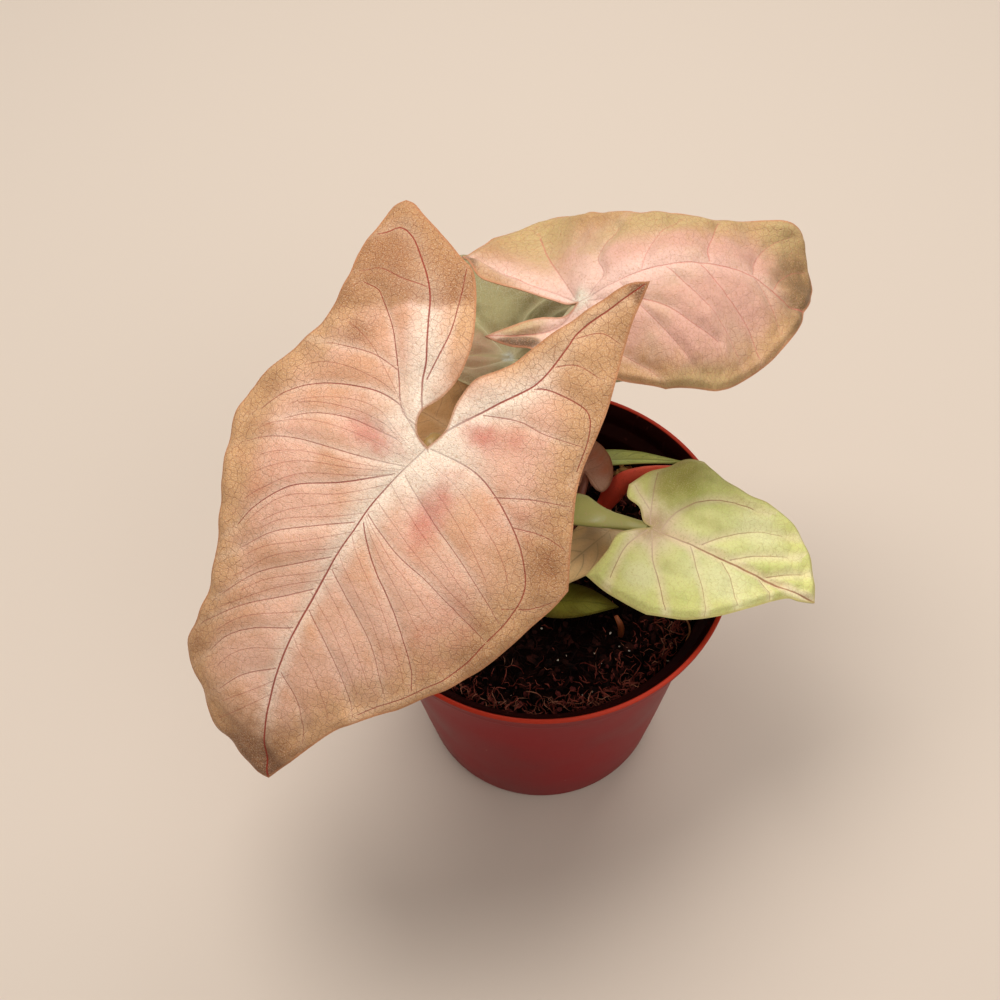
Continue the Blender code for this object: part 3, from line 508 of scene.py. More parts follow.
def make_leaf(leaf, veins, look, finer, quilt, groove, waves, spots, seed):
    """A leaf of two faces with sunken veins: quilt is the rise between veins, groove their depth and
    waves the height of its long ripples, all in mm. spots lists (mask, across, along, half width,
    half length) of coloured areas, and some have their rim's crispness and their strength too."""
    rng = random.Random(seed)
    bm = flat_blade(leaf, finer)
    flat = np.array([vert.co.xy for vert in bm.verts])
    drawn = vein_pieces([(veins["main"], 0.30, 0.13, 1.0), (veins["side"], 0.20, 0.06, 0.9),
                         (veins["thin"], 0.15, 0.04, 0.7)])
    main = vein_pieces([(veins["main"], 0.4, 0.2, 1.0)])
    _, edge = nearest(flat, *outline(leaf["blade"]))
    _, from_main = nearest(flat, main["start"], main["end"])
    drawn_piece, from_vein = nearest(flat, drawn["start"], drawn["end"])
    relief = blade_relief(flat, edge, from_main, from_vein, drawn["depth"][drawn_piece], quilt, groove,
                          waves, seed)
    for vert, place in zip(bm.verts, bend(leaf, flat)):
        vert.co = place
    bm.normal_update()
    normals = np.array([vert.normal for vert in bm.verts])
    upper = np.array([vert.co for vert in bm.verts]) + relief[:, None] * normals
    thickness = (EDGE_BLADE + (FINE_BLADE - EDGE_BLADE) * ease(edge / 2.5)
                 + MIDRIB_SWELL * np.exp(-(from_main / 0.9) ** 2))
    name = "fine_" + leaf["name"]
    mesh, source, under = two_faces(name, bm, upper, upper - thickness[:, None] * normals)
    corner_vert = np.empty(len(mesh.loops), int)
    mesh.loops.foreach_get("vertex_index", corner_vert)
    sizes = np.empty(len(mesh.polygons), int)
    mesh.polygons.foreach_get("loop_total", sizes)
    face_of_corner = np.repeat(np.arange(len(sizes)), sizes)
    corners = flat[source[corner_vert]]
    centres = np.stack([np.bincount(face_of_corner, corners[:, k]) / sizes for k in (0, 1)], axis=1)
    attribute(mesh, "flat", "POINT", np.column_stack([flat[source], under]))
    attribute(mesh, "reach", "POINT", np.column_stack([edge, from_main, np.linalg.norm(flat, axis=1)])[source])
    attribute(mesh, "line", "CORNER", corner_lines(corners, face_of_corner, centres, drawn))
    if "faint" in veins:
        faint = vein_pieces([(veins["faint"](rng), 0.13, 0.05, 1.0)])
        attribute(mesh, "faint", "CORNER", corner_lines(corners, face_of_corner, centres, faint))
    attribute(mesh, "spots", "POINT", spot_masks(flat, spots)[source])
    return show(name, mesh, look, "leaf_" + leaf["name"])


def show(name, mesh, look, *nodes, angle=50):
    """Put a finished mesh in the scene in place of the solids that it stands for"""
    mesh.shade_smooth()
    mesh.set_sharp_from_angle(angle=math.radians(angle))
    mesh.materials.append(look.material)
    piece = bpy.data.objects.new(name, mesh)
    bpy.context.scene.collection.objects.link(piece)
    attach(piece, "root")
    if nodes:
        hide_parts(*nodes)
    return piece


def from_bmesh(name, bm):
    bmesh.ops.scale(bm, vec=(MM, MM, MM), verts=bm.verts)
    mesh = bpy.data.meshes.new(name)
    bm.to_mesh(mesh)
    bm.free()
    return mesh


def stalk_bmesh(route, halves, sides=20, count=44, end=None, ridges=0.02, seam=0.0, foot_depth=4.0):
    """A round stalk along its route from the soil, with faint ridges or the seam of a rolled leaf"""
    foot, rest = route[0], route[1:]
    points = [np.array([*foot, SOIL_LEVEL + 3.0]), *(np.array(point, float) for point in rest)]
    path = np.vstack([[*foot, SOIL_LEVEL - foot_depth], [*foot, SOIL_LEVEL], curve(points, count)])
    turn = path[-1] - path[0]
    leans = math.hypot(turn[0], turn[1]) > 0.1
    side = Vector((-turn[1], turn[0], 0)).normalized() if leans else Vector((1, 0, 0))
    stations = np.linspace(0, 1, len(halves))
    bm = bmesh.new()
    bmesh.ops.create_circle(bm, cap_ends=True, segments=sides, radius=1)
    corner = bm.verts.layers.int.new("corner")
    run = bm.verts.layers.float.new("run")
    for number, vert in enumerate(bm.verts):
        vert[corner] = number
    verts, cap = list(bm.verts), bm.verts[:] + bm.edges[:] + bm.faces[:]
    for number, place in enumerate(path):
        if number:
            cap = bmesh.ops.extrude_face_region(bm, geom=cap)["geom"]
            verts = sorted((item for item in cap if isinstance(item, bmesh.types.BMVert)),
                           key=lambda vert: vert[corner])
        share = max(0, number - 2) / (len(path) - 3)
        wide, thick = (np.interp(share, stations, [pair[k] for pair in halves]) for k in (0, 1))
        ahead = Vector(path[min(number + 1, len(path) - 1)] - path[max(number - 1, 0)]).normalized()
        if number < 2:
            ahead = Vector((0, 0, 1))
        if end is not None and number == len(path) - 1:
            ahead = Vector(end)
        axis_a = (side - side.project(ahead)).normalized()
        axis_b = ahead.cross(axis_a)
        for vert in verts:
            turn_angle = 2 * math.pi * vert[corner] / sides
            size = 1 + ridges * math.cos(5 * turn_angle) - seam * math.exp(-((turn_angle - 4.2) / 0.22) ** 2)
            vert.co = (Vector(place) + axis_a * wide * size * math.cos(turn_angle)
                       + axis_b * thick * size * math.sin(turn_angle))
            vert[run] = share
    bmesh.ops.recalc_face_normals(bm, faces=bm.faces)
    return bm


def make_stalk(leaf, look):
    _, along, out = leaf_axes(leaf)
    groove = RELIEF[leaf["name"]][2]
    top = np.array(leaf["joint"]) + STALK_LAP * along - (STALK_DEPTH + groove) * out
    behind, below = leaf["neck"]
    route = [*leaf["route"], top - behind * along - below * out, top]
    mesh = from_bmesh("fine_stalk_" + leaf["name"], stalk_bmesh(route, leaf["stalk"], end=out))
    return show("fine_stalk_" + leaf["name"], mesh, look, "stalk_" + leaf["name"])


def turned(profile, steps):
    """A profile of (radius, height) points turned about the upright axis"""
    bm = bmesh.new()
    verts = [bm.verts.new((radius, 0, height)) for radius, height in profile]
    edges = [bm.edges.new(pair) for pair in zip(verts, verts[1:])]
    bmesh.ops.spin(bm, geom=verts + edges, cent=(0, 0, 0), axis=(0, 0, 1), angle=2 * math.pi,
                   steps=steps, use_merge=True)
    bmesh.ops.remove_doubles(bm, verts=bm.verts, dist=0.005)
    bmesh.ops.recalc_face_normals(bm, faces=bm.faces)
    return bm


def wall_radius(height):
    """Outer radius of the pot's body at a height"""
    return BASE_RADIUS + (BODY_RADIUS - BASE_RADIUS) * height / COLLAR_FOOT


def rounded(points, radius, steps=4):
    """The profile with its inner corners replaced by short arcs"""
    points = [np.array(point, float) for point in points]
    path = [points[0]]
    for before, here, after in zip(points, points[1:], points[2:]):
        cut = min(radius, 0.45 * np.linalg.norm(here - before), 0.45 * np.linalg.norm(after - here))
        low = here + (before - here) / np.linalg.norm(before - here) * cut
        high = here + (after - here) / np.linalg.norm(after - here) * cut
        for share in np.linspace(0, 1, steps):
            path.append((1 - share) ** 2 * low + 2 * share * (1 - share) * here + share ** 2 * high)
    return [*path, points[-1]]


def make_pot(look):
    top, lip_foot = POT_HEIGHT, POT_HEIGHT - LIP_HEIGHT
    inner_base = wall_radius(WALL) - WALL
    outside = [(0, 0.5), (12, 0.5), (13, 0), (BASE_RADIUS - 1.6, 0), (BASE_RADIUS, 1.6)]
    body = [(wall_radius(height), height) for height in (20, 40, 60)]
    rim = [(BODY_RADIUS, COLLAR_FOOT), (COLLAR_RADIUS - 0.4, COLLAR_FOOT + 0.9),
           (COLLAR_RADIUS, COLLAR_FOOT + 1.8), (COLLAR_RADIUS + 0.5, lip_foot), (LIP_RADIUS - 0.1, lip_foot),
           (LIP_RADIUS, top - 0.1),
           (LIP_RADIUS - 1.0, top), (LIP_RADIUS - 1.5, top - 0.5), (COLLAR_RADIUS - WALL, top - 3.0),
           (COLLAR_RADIUS - WALL, COLLAR_FOOT + 2.6), (BODY_RADIUS - WALL, COLLAR_FOOT + 0.8)]
    inside = [(wall_radius(height) - WALL, height) for height in (60, 40, 20)] + [(inner_base, WALL), (0, WALL)]
    pot = bpy.data.objects.new("pot_with_holes", from_bmesh("pot_with_holes", turned(
        rounded(outside + body + rim + inside, 0.5), 160)))
    holes = bmesh.new()
    for number in range(DRAIN_COUNT):
        angle = 2 * math.pi * number / DRAIN_COUNT
        made = bmesh.ops.create_cone(holes, cap_ends=True, segments=28, radius1=DRAIN_RADIUS,
                                     radius2=DRAIN_RADIUS, depth=6)["verts"]
        bmesh.ops.translate(holes, vec=(DRAIN_CIRCLE * math.cos(angle), DRAIN_CIRCLE * math.sin(angle), 1),
                            verts=made)
    drill = bpy.data.objects.new("drill", from_bmesh("drill", holes))
    for piece in (pot, drill):
        bpy.context.scene.collection.objects.link(piece)
    cut = pot.modifiers.new("drain", "BOOLEAN")
    cut.object, cut.operation = drill, "DIFFERENCE"
    bpy.context.view_layer.update()
    mesh = bpy.data.meshes.new_from_object(pot.evaluated_get(bpy.context.evaluated_depsgraph_get()))
    bpy.data.objects.remove(drill)
    bpy.data.objects.remove(pot)
    mesh.name = "fine_pot"
    return show("fine_pot", mesh, look, "pot", angle=40)


def soil_height(x, y):
    """The source's lumps, without the crumbs, which are pieces of their own here"""
    lumps = noise.noise(Vector((x, y, 3.0)) / 6.0) + 0.6 * noise.noise(Vector((x, y, 9.0)) / 2.8)
    return 1.5 * lumps


def fine_soil_height(x, y):
    """The fine soil's top: lumps, grit and a low rise at the wall"""
    grit = 0.55 * noise.noise(Vector((x, y, 5.0)) / 1.1) + 0.30 * noise.noise(Vector((x, y, 8.0)) / 0.55)
    edge = ease((math.hypot(x, y) - 40.0) / 5.5)
    return SOIL_LEVEL + soil_height(x, y) + grit + 0.6 * float(edge)


def make_soil(look):
    """The plug of soil with a fine top"""
    floor = WALL + GAP
    side = [(wall_radius(height) - WALL - GAP, height) for height in (SOIL_LEVEL, 40, floor)]
    rings = 86
    top = [(side[0][0] * number / rings, SOIL_LEVEL) for number in range(rings)]
    bm = turned([*top, *side, (0, floor)], 250)
    for vert in bm.verts:
        if vert.co.z > SOIL_LEVEL - 0.01:
            vert.co.z = fine_soil_height(vert.co.x, vert.co.y)
    return show("fine_soil", from_bmesh("fine_soil", bm), look, "soil", angle=80)


def scatter(name, template, places, look, angle=50):
    """One mesh of many copies of a small shape. places yields a shaping function for each copy,
    which takes the copy's points and returns where they go"""
    seed = bpy.data.meshes.new(name + "_one")
    template.to_mesh(seed)
    bm = bmesh.new()
    moved = []
    shape = np.array([vert.co for vert in seed.vertices])
    for place in places:
        bm.from_mesh(seed)
        moved.append(place(shape))
    for vert, spot in zip(bm.verts, np.vstack(moved)):
        vert.co = spot
    bmesh.ops.recalc_face_normals(bm, faces=bm.faces)
    template.free()
    bpy.data.meshes.remove(seed)
    piece = show(name, from_bmesh(name, bm), look, angle=angle)
    return piece


def fibre_shape(sides=4, sections=6):
    """A thin closed rod of unit length along X"""
    bm = bmesh.new()
    bmesh.ops.create_circle(bm, cap_ends=True, segments=sides, radius=1,
                            matrix=Matrix.Rotation(math.pi / 2, 4, "Y"))
    cap = bm.verts[:] + bm.edges[:] + bm.faces[:]
    for _ in range(sections):
        cap = bmesh.ops.extrude_face_region(bm, geom=cap)["geom"]
        bmesh.ops.translate(bm, vec=(1 / sections, 0, 0),
                            verts=[item for item in cap if isinstance(item, bmesh.types.BMVert)])
    return bm


def turn_matrix(rng, tilt):
    """A rotation to any heading, tilted up by about so many degrees and rolled at random"""
    return np.array(Matrix.Rotation(rng.uniform(0, 2 * math.pi), 3, "Z")
                    @ Matrix.Rotation(-math.radians(rng.gauss(tilt, tilt * 0.7)), 3, "Y")
                    @ Matrix.Rotation(rng.uniform(0, 2 * math.pi), 3, "X"))


def soil_spot(rng, inner=0.0):
    """A spot of the soil at least so far from its middle"""
    radius = math.sqrt(rng.uniform(inner ** 2, SOIL_REACH ** 2))
    heading = rng.uniform(0, 2 * math.pi)
    return radius * math.cos(heading), radius * math.sin(heading)


def front_spot(rng):
    """A spot of the strip along the front wall"""
    radius, heading = rng.uniform(39.5, 43.8), rng.uniform(-2.7, -0.35)
    return radius * math.cos(heading), radius * math.sin(heading)


def fibre(rng, spot, length, thick, tilt, bow, lift=0.0):
    """Shaping function of one bowed fibre that lies at a spot of the soil"""
    turn = turn_matrix(rng, tilt)
    bend_y, bend_z, phase = rng.uniform(-bow, bow), rng.uniform(-bow, bow), rng.uniform(0, 6)
    x, y = spot
    z = fine_soil_height(x, y) + lift
    def place(shape):
        run = shape[:, 0]
        taper = 0.35 + 0.65 * np.sin(np.clip(run * 0.9 + 0.08, 0, 1) * math.pi)
        curl = 4 * run * (1 - run)
        points = np.column_stack([(run - 0.5) * length,
                                  shape[:, 1] * thick * taper + bend_y * length * curl
                                  + 0.06 * length * np.sin(9 * run + phase),
                                  shape[:, 2] * thick * taper + bend_z * length * curl])
        moved = points @ turn.T + np.array([x, y, z])
        gone = np.hypot(moved[:, 0], moved[:, 1])
        moved[:, :2] *= np.minimum(1, WALL_REACH / np.maximum(gone, 1e-6))[:, None]
        return moved
    return place


def chip(rng, spot, size, flat_share, lift):
    """Shaping function of one rough chip of bark or coir dust"""
    turn = turn_matrix(rng, 12)
    spread = np.array([size * rng.uniform(0.8, 1.6), size * rng.uniform(0.6, 1.1), size * flat_share])
    seed = rng.uniform(0, 90)
    x, y = spot
    z = fine_soil_height(x, y) + lift
    def place(shape):
        bumps = np.array([noise.noise(Vector(point) * 1.7 + Vector((seed, 0, 0))) for point in shape])
        return (shape * (1 + 0.55 * bumps)[:, None] * spread) @ turn.T + np.array([x, y, z])
    return place


def ball():
    bm = bmesh.new()
    bmesh.ops.create_icosphere(bm, subdivisions=2, radius=1)
    return bm


def make_soil_bits(looks):
    """Fibres, chips and grains strewn at random, some only by the front wall, where the photo shows them"""
    rng = random.Random(11)
    dark = [fibre(rng, soil_spot(rng), rng.uniform(2.0, 6.0), rng.uniform(0.10, 0.26), 16, 0.22, 0.25)
            for _ in range(1300)]
    scatter("soil_fibres_dark", fibre_shape(), dark, looks["coir_dark"])
    red = [fibre(rng, soil_spot(rng, 31 if number % 5 else 12), rng.uniform(1.6, 5.5), rng.uniform(0.09, 0.24),
                 30, 0.38, 0.7) for number in range(560)]
    red += [fibre(rng, front_spot(rng), rng.uniform(1.6, 5.0), rng.uniform(0.10, 0.26), 34, 0.36,
                  rng.uniform(0.8, 3.2)) for _ in range(190)]
    scatter("soil_fibres_red", fibre_shape(), red, looks["coir_red"])
    pale = [fibre(rng, soil_spot(rng, 28), rng.uniform(2.0, 6.0), rng.uniform(0.07, 0.15), 26, 0.32, 0.8)
            for _ in range(90)]
    pale += [fibre(rng, front_spot(rng), rng.uniform(2.0, 6.5), rng.uniform(0.09, 0.18), 34, 0.30,
                   rng.uniform(1.0, 3.0)) for _ in range(60)]
    scatter("soil_fibres_pale", fibre_shape(), pale, looks["coir_pale"])
    clumps = [chip(rng, soil_spot(rng, 32), rng.uniform(0.35, 1.0), 0.6, 0.6) for _ in range(170)]
    clumps += [chip(rng, front_spot(rng), rng.uniform(0.35, 0.9), 0.6, rng.uniform(0.4, 1.8))
               for _ in range(90)]
    scatter("soil_clumps", ball(), clumps, looks["coir_clumps"], angle=35)
    bark = [chip(rng, soil_spot(rng), rng.uniform(0.5, 1.5), rng.uniform(0.3, 0.6), 0.1) for _ in range(700)]
    scatter("soil_chips", ball(), bark, looks["bark_chips"], angle=35)
    specks = [chip(rng, soil_spot(rng, 12), rng.uniform(0.14, 0.34), 0.8, 0.55) for _ in range(60)]
    scatter("soil_specks", ball(), specks, looks["pale_specks"], angle=35)
    crumbs = [chip(rng, (26.5 + rng.gauss(0, 1.6), 32.0 + rng.gauss(0, 1.5)), rng.uniform(0.8, 1.5), 0.7,
                   rng.uniform(0.4, 2.6)) for _ in range(16)]
    scatter("soil_crumbs", ball(), crumbs, looks["bark_crumbs"], angle=35)


def paint(red, green, blue):
    """A colour given as on a screen, 0 to 255, as a shader takes it"""
    parts = [value / 255 for value in (red, green, blue)]
    return (*(part / 12.92 if part <= 0.04045 else ((part + 0.055) / 1.055) ** 2.4 for part in parts), 1.0)


class Wire:
    """The output of a shader node. Sums and products of wires add their Math nodes."""

    def __init__(self, look, socket):
        self.look, self.socket = look, socket

    def math(self, operation, *values):
        return self.look.make("ShaderNodeMath", {"operation": operation}, dict(enumerate(values)))

    def __add__(self, other):
        return self.math("ADD", self, other)

    def __sub__(self, other):
        return self.math("SUBTRACT", self, other)

    def __rsub__(self, other):
        return self.math("SUBTRACT", other, self)

    def __mul__(self, other):
        return self.math("MULTIPLY", self, other)

    def __abs__(self):
        return self.math("ABSOLUTE", self)

    __radd__, __rmul__ = __add__, __mul__

    def part(self, axis):
        return self.look.make("ShaderNodeSeparateXYZ", {}, {0: self}, "XYZ".index(axis))


class Look:
    """One material and the nodes that paint it"""

    def __init__(self, name, roughness, **constants):
        self.material = bpy.data.materials.new(name)
        self.material.use_nodes = True
        self.tree = self.material.node_tree
        self.shader = self.tree.nodes["Principled BSDF"]
        self.shader.inputs["Roughness"].default_value = roughness
        for socket, value in constants.items():
            self.shader.inputs[socket.replace("_", " ")].default_value = value

    def make(self, kind, settings, inputs, output=0):
        node = self.tree.nodes.new(kind)
        for key, value in settings.items():
            setattr(node, key, value)
        for key, value in inputs.items():
            self.feed(node.inputs[key], value)
        return Wire(self, node.outputs[output])

    def feed(self, socket, value):
        if isinstance(value, Wire):
            self.tree.links.new(value.socket, socket)
        else:
            socket.default_value = value

    def attribute(self, name):
        return self.make("ShaderNodeAttribute", {"attribute_name": name}, {}, 1)

    def place(self):
        """The place in the part's frame, in mm"""
        return self.stretch(self.make("ShaderNodeTexCoord", {}, {}, 3), (1 / MM, 1 / MM, 1 / MM))

    def vector(self, operation, *values, output=0):
        return self.make("ShaderNodeVectorMath", {"operation": operation}, dict(enumerate(values)), output)

    def stretch(self, place, scale):
        return self.vector("MULTIPLY", place, scale)

    def cloud(self, place, scale, detail=3.0, roughness=0.55, output=0):
        """Soft noise, 0 to 1"""
        return self.make("ShaderNodeTexNoise", {}, {"Vector": place, "Scale": scale, "Detail": detail,
                                                    "Roughness": roughness}, output)

    def cells(self, place, scale, feature="DISTANCE_TO_EDGE", dimensions="2D"):
        return self.make("ShaderNodeTexVoronoi", {"feature": feature, "voronoi_dimensions": dimensions},
                         {"Vector": place, "Scale": scale})

    def ramp(self, value, low, high, start=0.0, end=1.0):
        """Smooth step of a value between two limits, which may be wires too"""
        return self.make("ShaderNodeMapRange", {"interpolation_type": "SMOOTHSTEP"},
                         {0: value, 1: low, 2: high, 3: start, 4: end})

    def fade(self, value, low, high, start=1.0):
        """Full up to one limit and gone from the other on"""
        return self.ramp(value, low, high, start, 0.0)

    def mix(self, share, below, above, blend="MIX"):
        return self.make("ShaderNodeMix", {"data_type": "RGBA", "blend_type": blend},
                         {0: share, 6: below, 7: above}, 2)

    def finish(self, colour, roughness, height, strength=1.0):
        """Connects the colour, the roughness if it varies, and a bump given in mm"""
        self.feed(self.shader.inputs["Base Color"], colour)
        if roughness is not None:
            self.feed(self.shader.inputs["Roughness"], roughness)
        bump = self.make("ShaderNodeBump", {}, {"Strength": strength, "Distance": MM, "Height": height})
        self.feed(self.shader.inputs["Normal"], bump)
        return self


def leaf_look(name, tones, margin, halo, vein, net, sinus, grain, glow, zones, faint):
    """Leaf skin. tones are screen colours in the order of TONE_KEYS. margin is where the margin colour
    is full and gone, in mm from the edge, and sinus where it starts and is full, in mm from the joint.
    halo is the width of the pale band along the main veins, its reach from the joint, its strength and
    its share past that reach. vein, net and grain are strengths, and glow widens and brightens the
    paler skin beside each vein. zones are half planes (across, along, offset, width, dark) beyond
    which the blade has its margin colour, darkened by a share. faint says that it has faint veins."""
    look = Look(name, 0.5, Specular_IOR_Level=0.12, Subsurface_Weight=0.04, Subsurface_Scale=0.001,
                Subsurface_Radius=(1.0, 0.45, 0.25))
    tone = {key: paint(*value) for key, value in zip(TONE_KEYS, tones)}
    flat, reach, spots = look.attribute("flat"), look.attribute("reach"), look.attribute("spots")
    line = look.attribute("line")
    line_gap, line_half, line_depth = abs(line.part("X")), line.part("Y"), line.part("Z")
    under, from_joint = flat.part("Z"), reach.part("Z")
    sheet = look.stretch(flat, (1, 1, 0))
    broad, middling = look.cloud(sheet, 0.055, 3.0), look.cloud(sheet, 0.22, 4.0)
    fine = look.cloud(sheet, 2.4, 3.0, 0.7)

    def ragged(distance, depth):
        """A distance with noise, so that what ends there has no smooth rim"""
        return distance + (middling - 0.5) * depth

    # the two tones of the middle, then the margin and the zones
    colour = look.mix(look.ramp(broad, 0.42, 0.66), tone["centre"], tone["blotch"])
    edge = ragged(reach.part("X"), 1.2 * margin[1])
    tan = look.fade(edge, *margin) * look.ramp(from_joint, *sinus)
    flecked = look.mix(look.ramp(fine, 0.3, 0.7) * 0.35, tone["margin"], tone["blotch"])
    colour = look.mix(tan * 0.92, colour, flecked)
    kept = 1.0
    for across, along, offset, width, dark in zones:
        beyond = flat.part("X") * across + flat.part("Y") * along - offset
        share = look.ramp(ragged(beyond, 5.0), 0.0, width)
        kept = (1 - share * 0.7) * kept
        darker = look.mix(look.ramp(broad, 0.35, 0.6, dark, 0.6 * dark), tone["margin"], tone["spot_0"])
        colour = look.mix(share * 0.85, colour, darker)

    # the pale band along the main veins, the pale skin beside each vein, and the coloured areas
    wide, far, strong, past = halo
    band = look.ramp(from_joint, 0.15 * far, far, 2.2 * wide, wide)
    near_main = look.fade(ragged(reach.part("Y"), 2.5), 0.2, band)
    near_joint = look.ramp(from_joint, 0.15 * far, far, 1.0, past)
    bright = look.fade(ragged(from_joint, 4.0), 0.10 * far, 0.42 * far, 0.85)
    bright = bright.math("MAXIMUM", bright, near_main * near_joint * strong)
    colour = look.mix(bright * kept, colour, tone["halo"])
    beside = look.fade(line_gap, 0.1, 1.2 + glow, 0.5 * glow) * near_joint
    colour = look.mix(beside * (1 - under) * kept, colour, tone["halo"])
    for number, axis in enumerate("XYZ"):
        share = look.ramp(ragged(spots.part(axis), 0.8), 0.05, 1.0)
        colour = look.mix(share * 0.80, colour, tone[f"spot_{number}"])

    # the net of the finest veins, in large and small cells, then speckles and grit
    wander = look.vector("SUBTRACT", look.cloud(sheet, 0.35, 2.0, output=1), (0.5, 0.5, 0.5))
    warped = look.vector("ADD", sheet, look.stretch(wander, (1.8, 1.8, 0)))
    net_large = look.fade(look.cells(warped, 0.58), 0.01, 0.075)
    net_small = look.fade(look.cells(warped, 1.8), 0.02, 0.20)
    near_edge = look.ramp(edge, 4.0, 24.0, 1.0, 0.30) * look.ramp(from_joint, 6.0, 34.0, 0.25, 1.0)
    pattern = (net_large * 0.95 + net_small * 0.55) * near_edge * net
    colour = look.mix(pattern, colour, look.mix(0.55, tone["vein"], tone["spot_1"]))
    finest, gritty = look.cloud(sheet, 5.0, 2.0, 0.6), look.cloud(sheet, 1.5, 4.0, 0.75)
    speckle = look.ramp(fine, 0.50, 0.72) * 0.6 + look.ramp(finest, 0.45, 0.70) * 0.4
    colour = look.mix(speckle * grain * 0.8, colour, look.mix(0.5, tone["halo"], tone["margin"]))
    grit = look.ramp(gritty, 0.50, 0.68)
    colour = look.mix(grit * grain * 0.55, colour, look.mix(0.35, tone["margin"], tone["vein"]))

    # the drawn veins, paler at the joint, the lip and the under side
    lines = look.fade(line_gap, line_half * 0.35, line_half + 0.10)
    lines = lines * look.ramp(line_half, 0.0, 0.06) * line_depth
    if faint:
        weak = look.attribute("faint")
        weak_lines = look.fade(abs(weak.part("X")), 0.02, 0.20) * look.ramp(weak.part("Y"), 0.0, 0.05)
        lines = lines.math("MAXIMUM", lines, weak_lines * 0.42)
    pale = look.mix(0.65, tone["spot_1"], tone["halo"])
    ink = look.mix(look.fade(from_joint, 3.0, 20.0, 0.8), tone["vein"], pale)
    colour = look.mix(lines * vein, colour, ink)
    lip = look.fade(reach.part("X"), 0.2, 0.8, 0.7)
    colour = look.mix(lip, colour, look.mix(0.5, tone["margin"], tone["vein"]))
    dull = look.mix(look.ramp(broad, 0.3, 0.7) * 0.5, tone["under"], tone["margin"])
    back = look.mix(lines * 0.5, dull, tone["halo"])
    colour = look.mix(look.ramp(under, 0.3, 0.7), colour, back)
    height = ((1 - lines) * 0.09 + (1 - net_large) * 0.055 + (1 - net_small) * 0.045 + fine * 0.07
              + look.cloud(sheet, 0.6, 2.0) * 0.22)
    return look.finish(colour, look.ramp(middling, 0.2, 0.8, 0.40, 0.58), height, 0.9)


def stalk_look(name, low, high, streak):
    """Smooth stalk skin that turns from one colour at the soil to another at the leaf"""
    look = Look(name, 0.38, Specular_IOR_Level=0.4, Subsurface_Weight=0.12, Subsurface_Scale=0.002,
                Subsurface_Radius=(1.0, 0.6, 0.3))
    place = look.place()
    streaks = look.cloud(look.stretch(place, (2.0, 2.0, 0.12)), 1.0, 3.0)
    blush = look.cloud(place, 0.09, 2.0)
    run = look.attribute("run").part("X")
    colour = look.mix(look.ramp(run + (blush - 0.5) * 0.5, 0.1, 0.9), paint(*low), paint(*high))
    colour = look.mix(look.ramp(streaks, 0.52, 0.75) * 0.45, colour, paint(*streak))
    return look.finish(colour, look.ramp(blush, 0.2, 0.8, 0.32, 0.46), streaks * 0.06)


def pot_look():
    """Matt plastic with faint scuffs and dust, a painted highlight along the lip and painted shade on the inner
    wall over the soil
    """
    look = Look("pot_plastic", 0.4, Specular_IOR_Level=0.10)
    place = look.place()
    height = place.part("Z")
    cloudy, grainy = look.cloud(place, 0.03, 2.0), look.cloud(place, 1.6, 3.0)
    colour = look.mix(look.ramp(cloudy, 0.3, 0.7), paint(122, 16, 22), paint(138, 22, 28))
    away = look.vector("LENGTH", look.stretch(place, (1, 1, 0)), output=1)
    lean = (BODY_RADIUS - BASE_RADIUS) / COLLAR_FOOT
    wall = (height.math("MINIMUM", height, COLLAR_FOOT) * lean + BASE_RADIUS - WALL / 2
            + look.ramp(height, COLLAR_FOOT, COLLAR_FOOT + 2.6, 0.0, COLLAR_RADIUS - BODY_RADIUS))
    wall = wall + look.ramp(height, POT_HEIGHT - 2.5, POT_HEIGHT - 1.4, 0.0,
                            LIP_RADIUS - 1.2 - COLLAR_RADIUS + WALL / 2)
    # painted shade: the inner face of the wall over the soil is painted near black, for the shade inside the
    # pot
    inside = look.fade(away - wall, -0.15, 0.15) * look.ramp(height, SOIL_LEVEL - 8, SOIL_LEVEL - 6)
    # painted highlight: the top of the lip is painted a light orange, for the light that its thin edge catches
    colour = look.mix(look.ramp(height, POT_HEIGHT - 1.0, POT_HEIGHT - 0.2) * 0.9, colour, paint(186, 56, 34))
    colour = look.mix(inside, colour, paint(36, 4, 3))
    scuffs = look.ramp(look.cloud(look.stretch(place, (0.5, 0.5, 0.06)), 1.0, 4.0), 0.62, 0.80)
    colour = look.mix(scuffs * 0.10, colour, paint(190, 120, 110))
    dust = look.fade(look.cells(place, 0.09, "F1", "3D"), 0.015, 0.035, 0.8)
    colour = look.mix(dust * 0.6, colour, paint(205, 160, 150))
    bump = grainy * 0.012 + look.cloud(look.stretch(place, (0.02, 0.02, 0.5)), 1.0, 2.0) * 0.02
    return look.finish(colour, look.ramp(cloudy, 0.2, 0.8, 0.36, 0.48) + scuffs * 0.1, bump)


def soil_look():
    """Moist, nearly black soil with a few lighter grains"""
    look = Look("soil_coir", 0.95, Specular_IOR_Level=0.05)
    place = look.place()
    coarse, fine = look.cloud(place, 0.5, 4.0, 0.65), look.cloud(place, 2.6, 3.0, 0.7)
    colour = look.mix(look.ramp(coarse, 0.45, 0.75), paint(10, 3, 2), paint(34, 13, 9))
    colour = look.mix(look.ramp(fine, 0.60, 0.78) * 0.7, colour, paint(46, 22, 18))
    return look.finish(colour, None, coarse * 0.5 + fine * 0.35)


def coir_look(name, dark, light, scale=0.35):
    """A rough fibre, chip or grain in patches of two colours"""
    look = Look(name, 0.85, Specular_IOR_Level=0.1)
    place = look.place()
    patch, grit = look.cloud(place, scale, 3.0), look.cloud(place, 3.0, 3.0)
    colour = look.mix(look.ramp(patch, 0.35, 0.65), paint(*dark), paint(*light))
    return look.finish(colour, None, grit * 0.12)


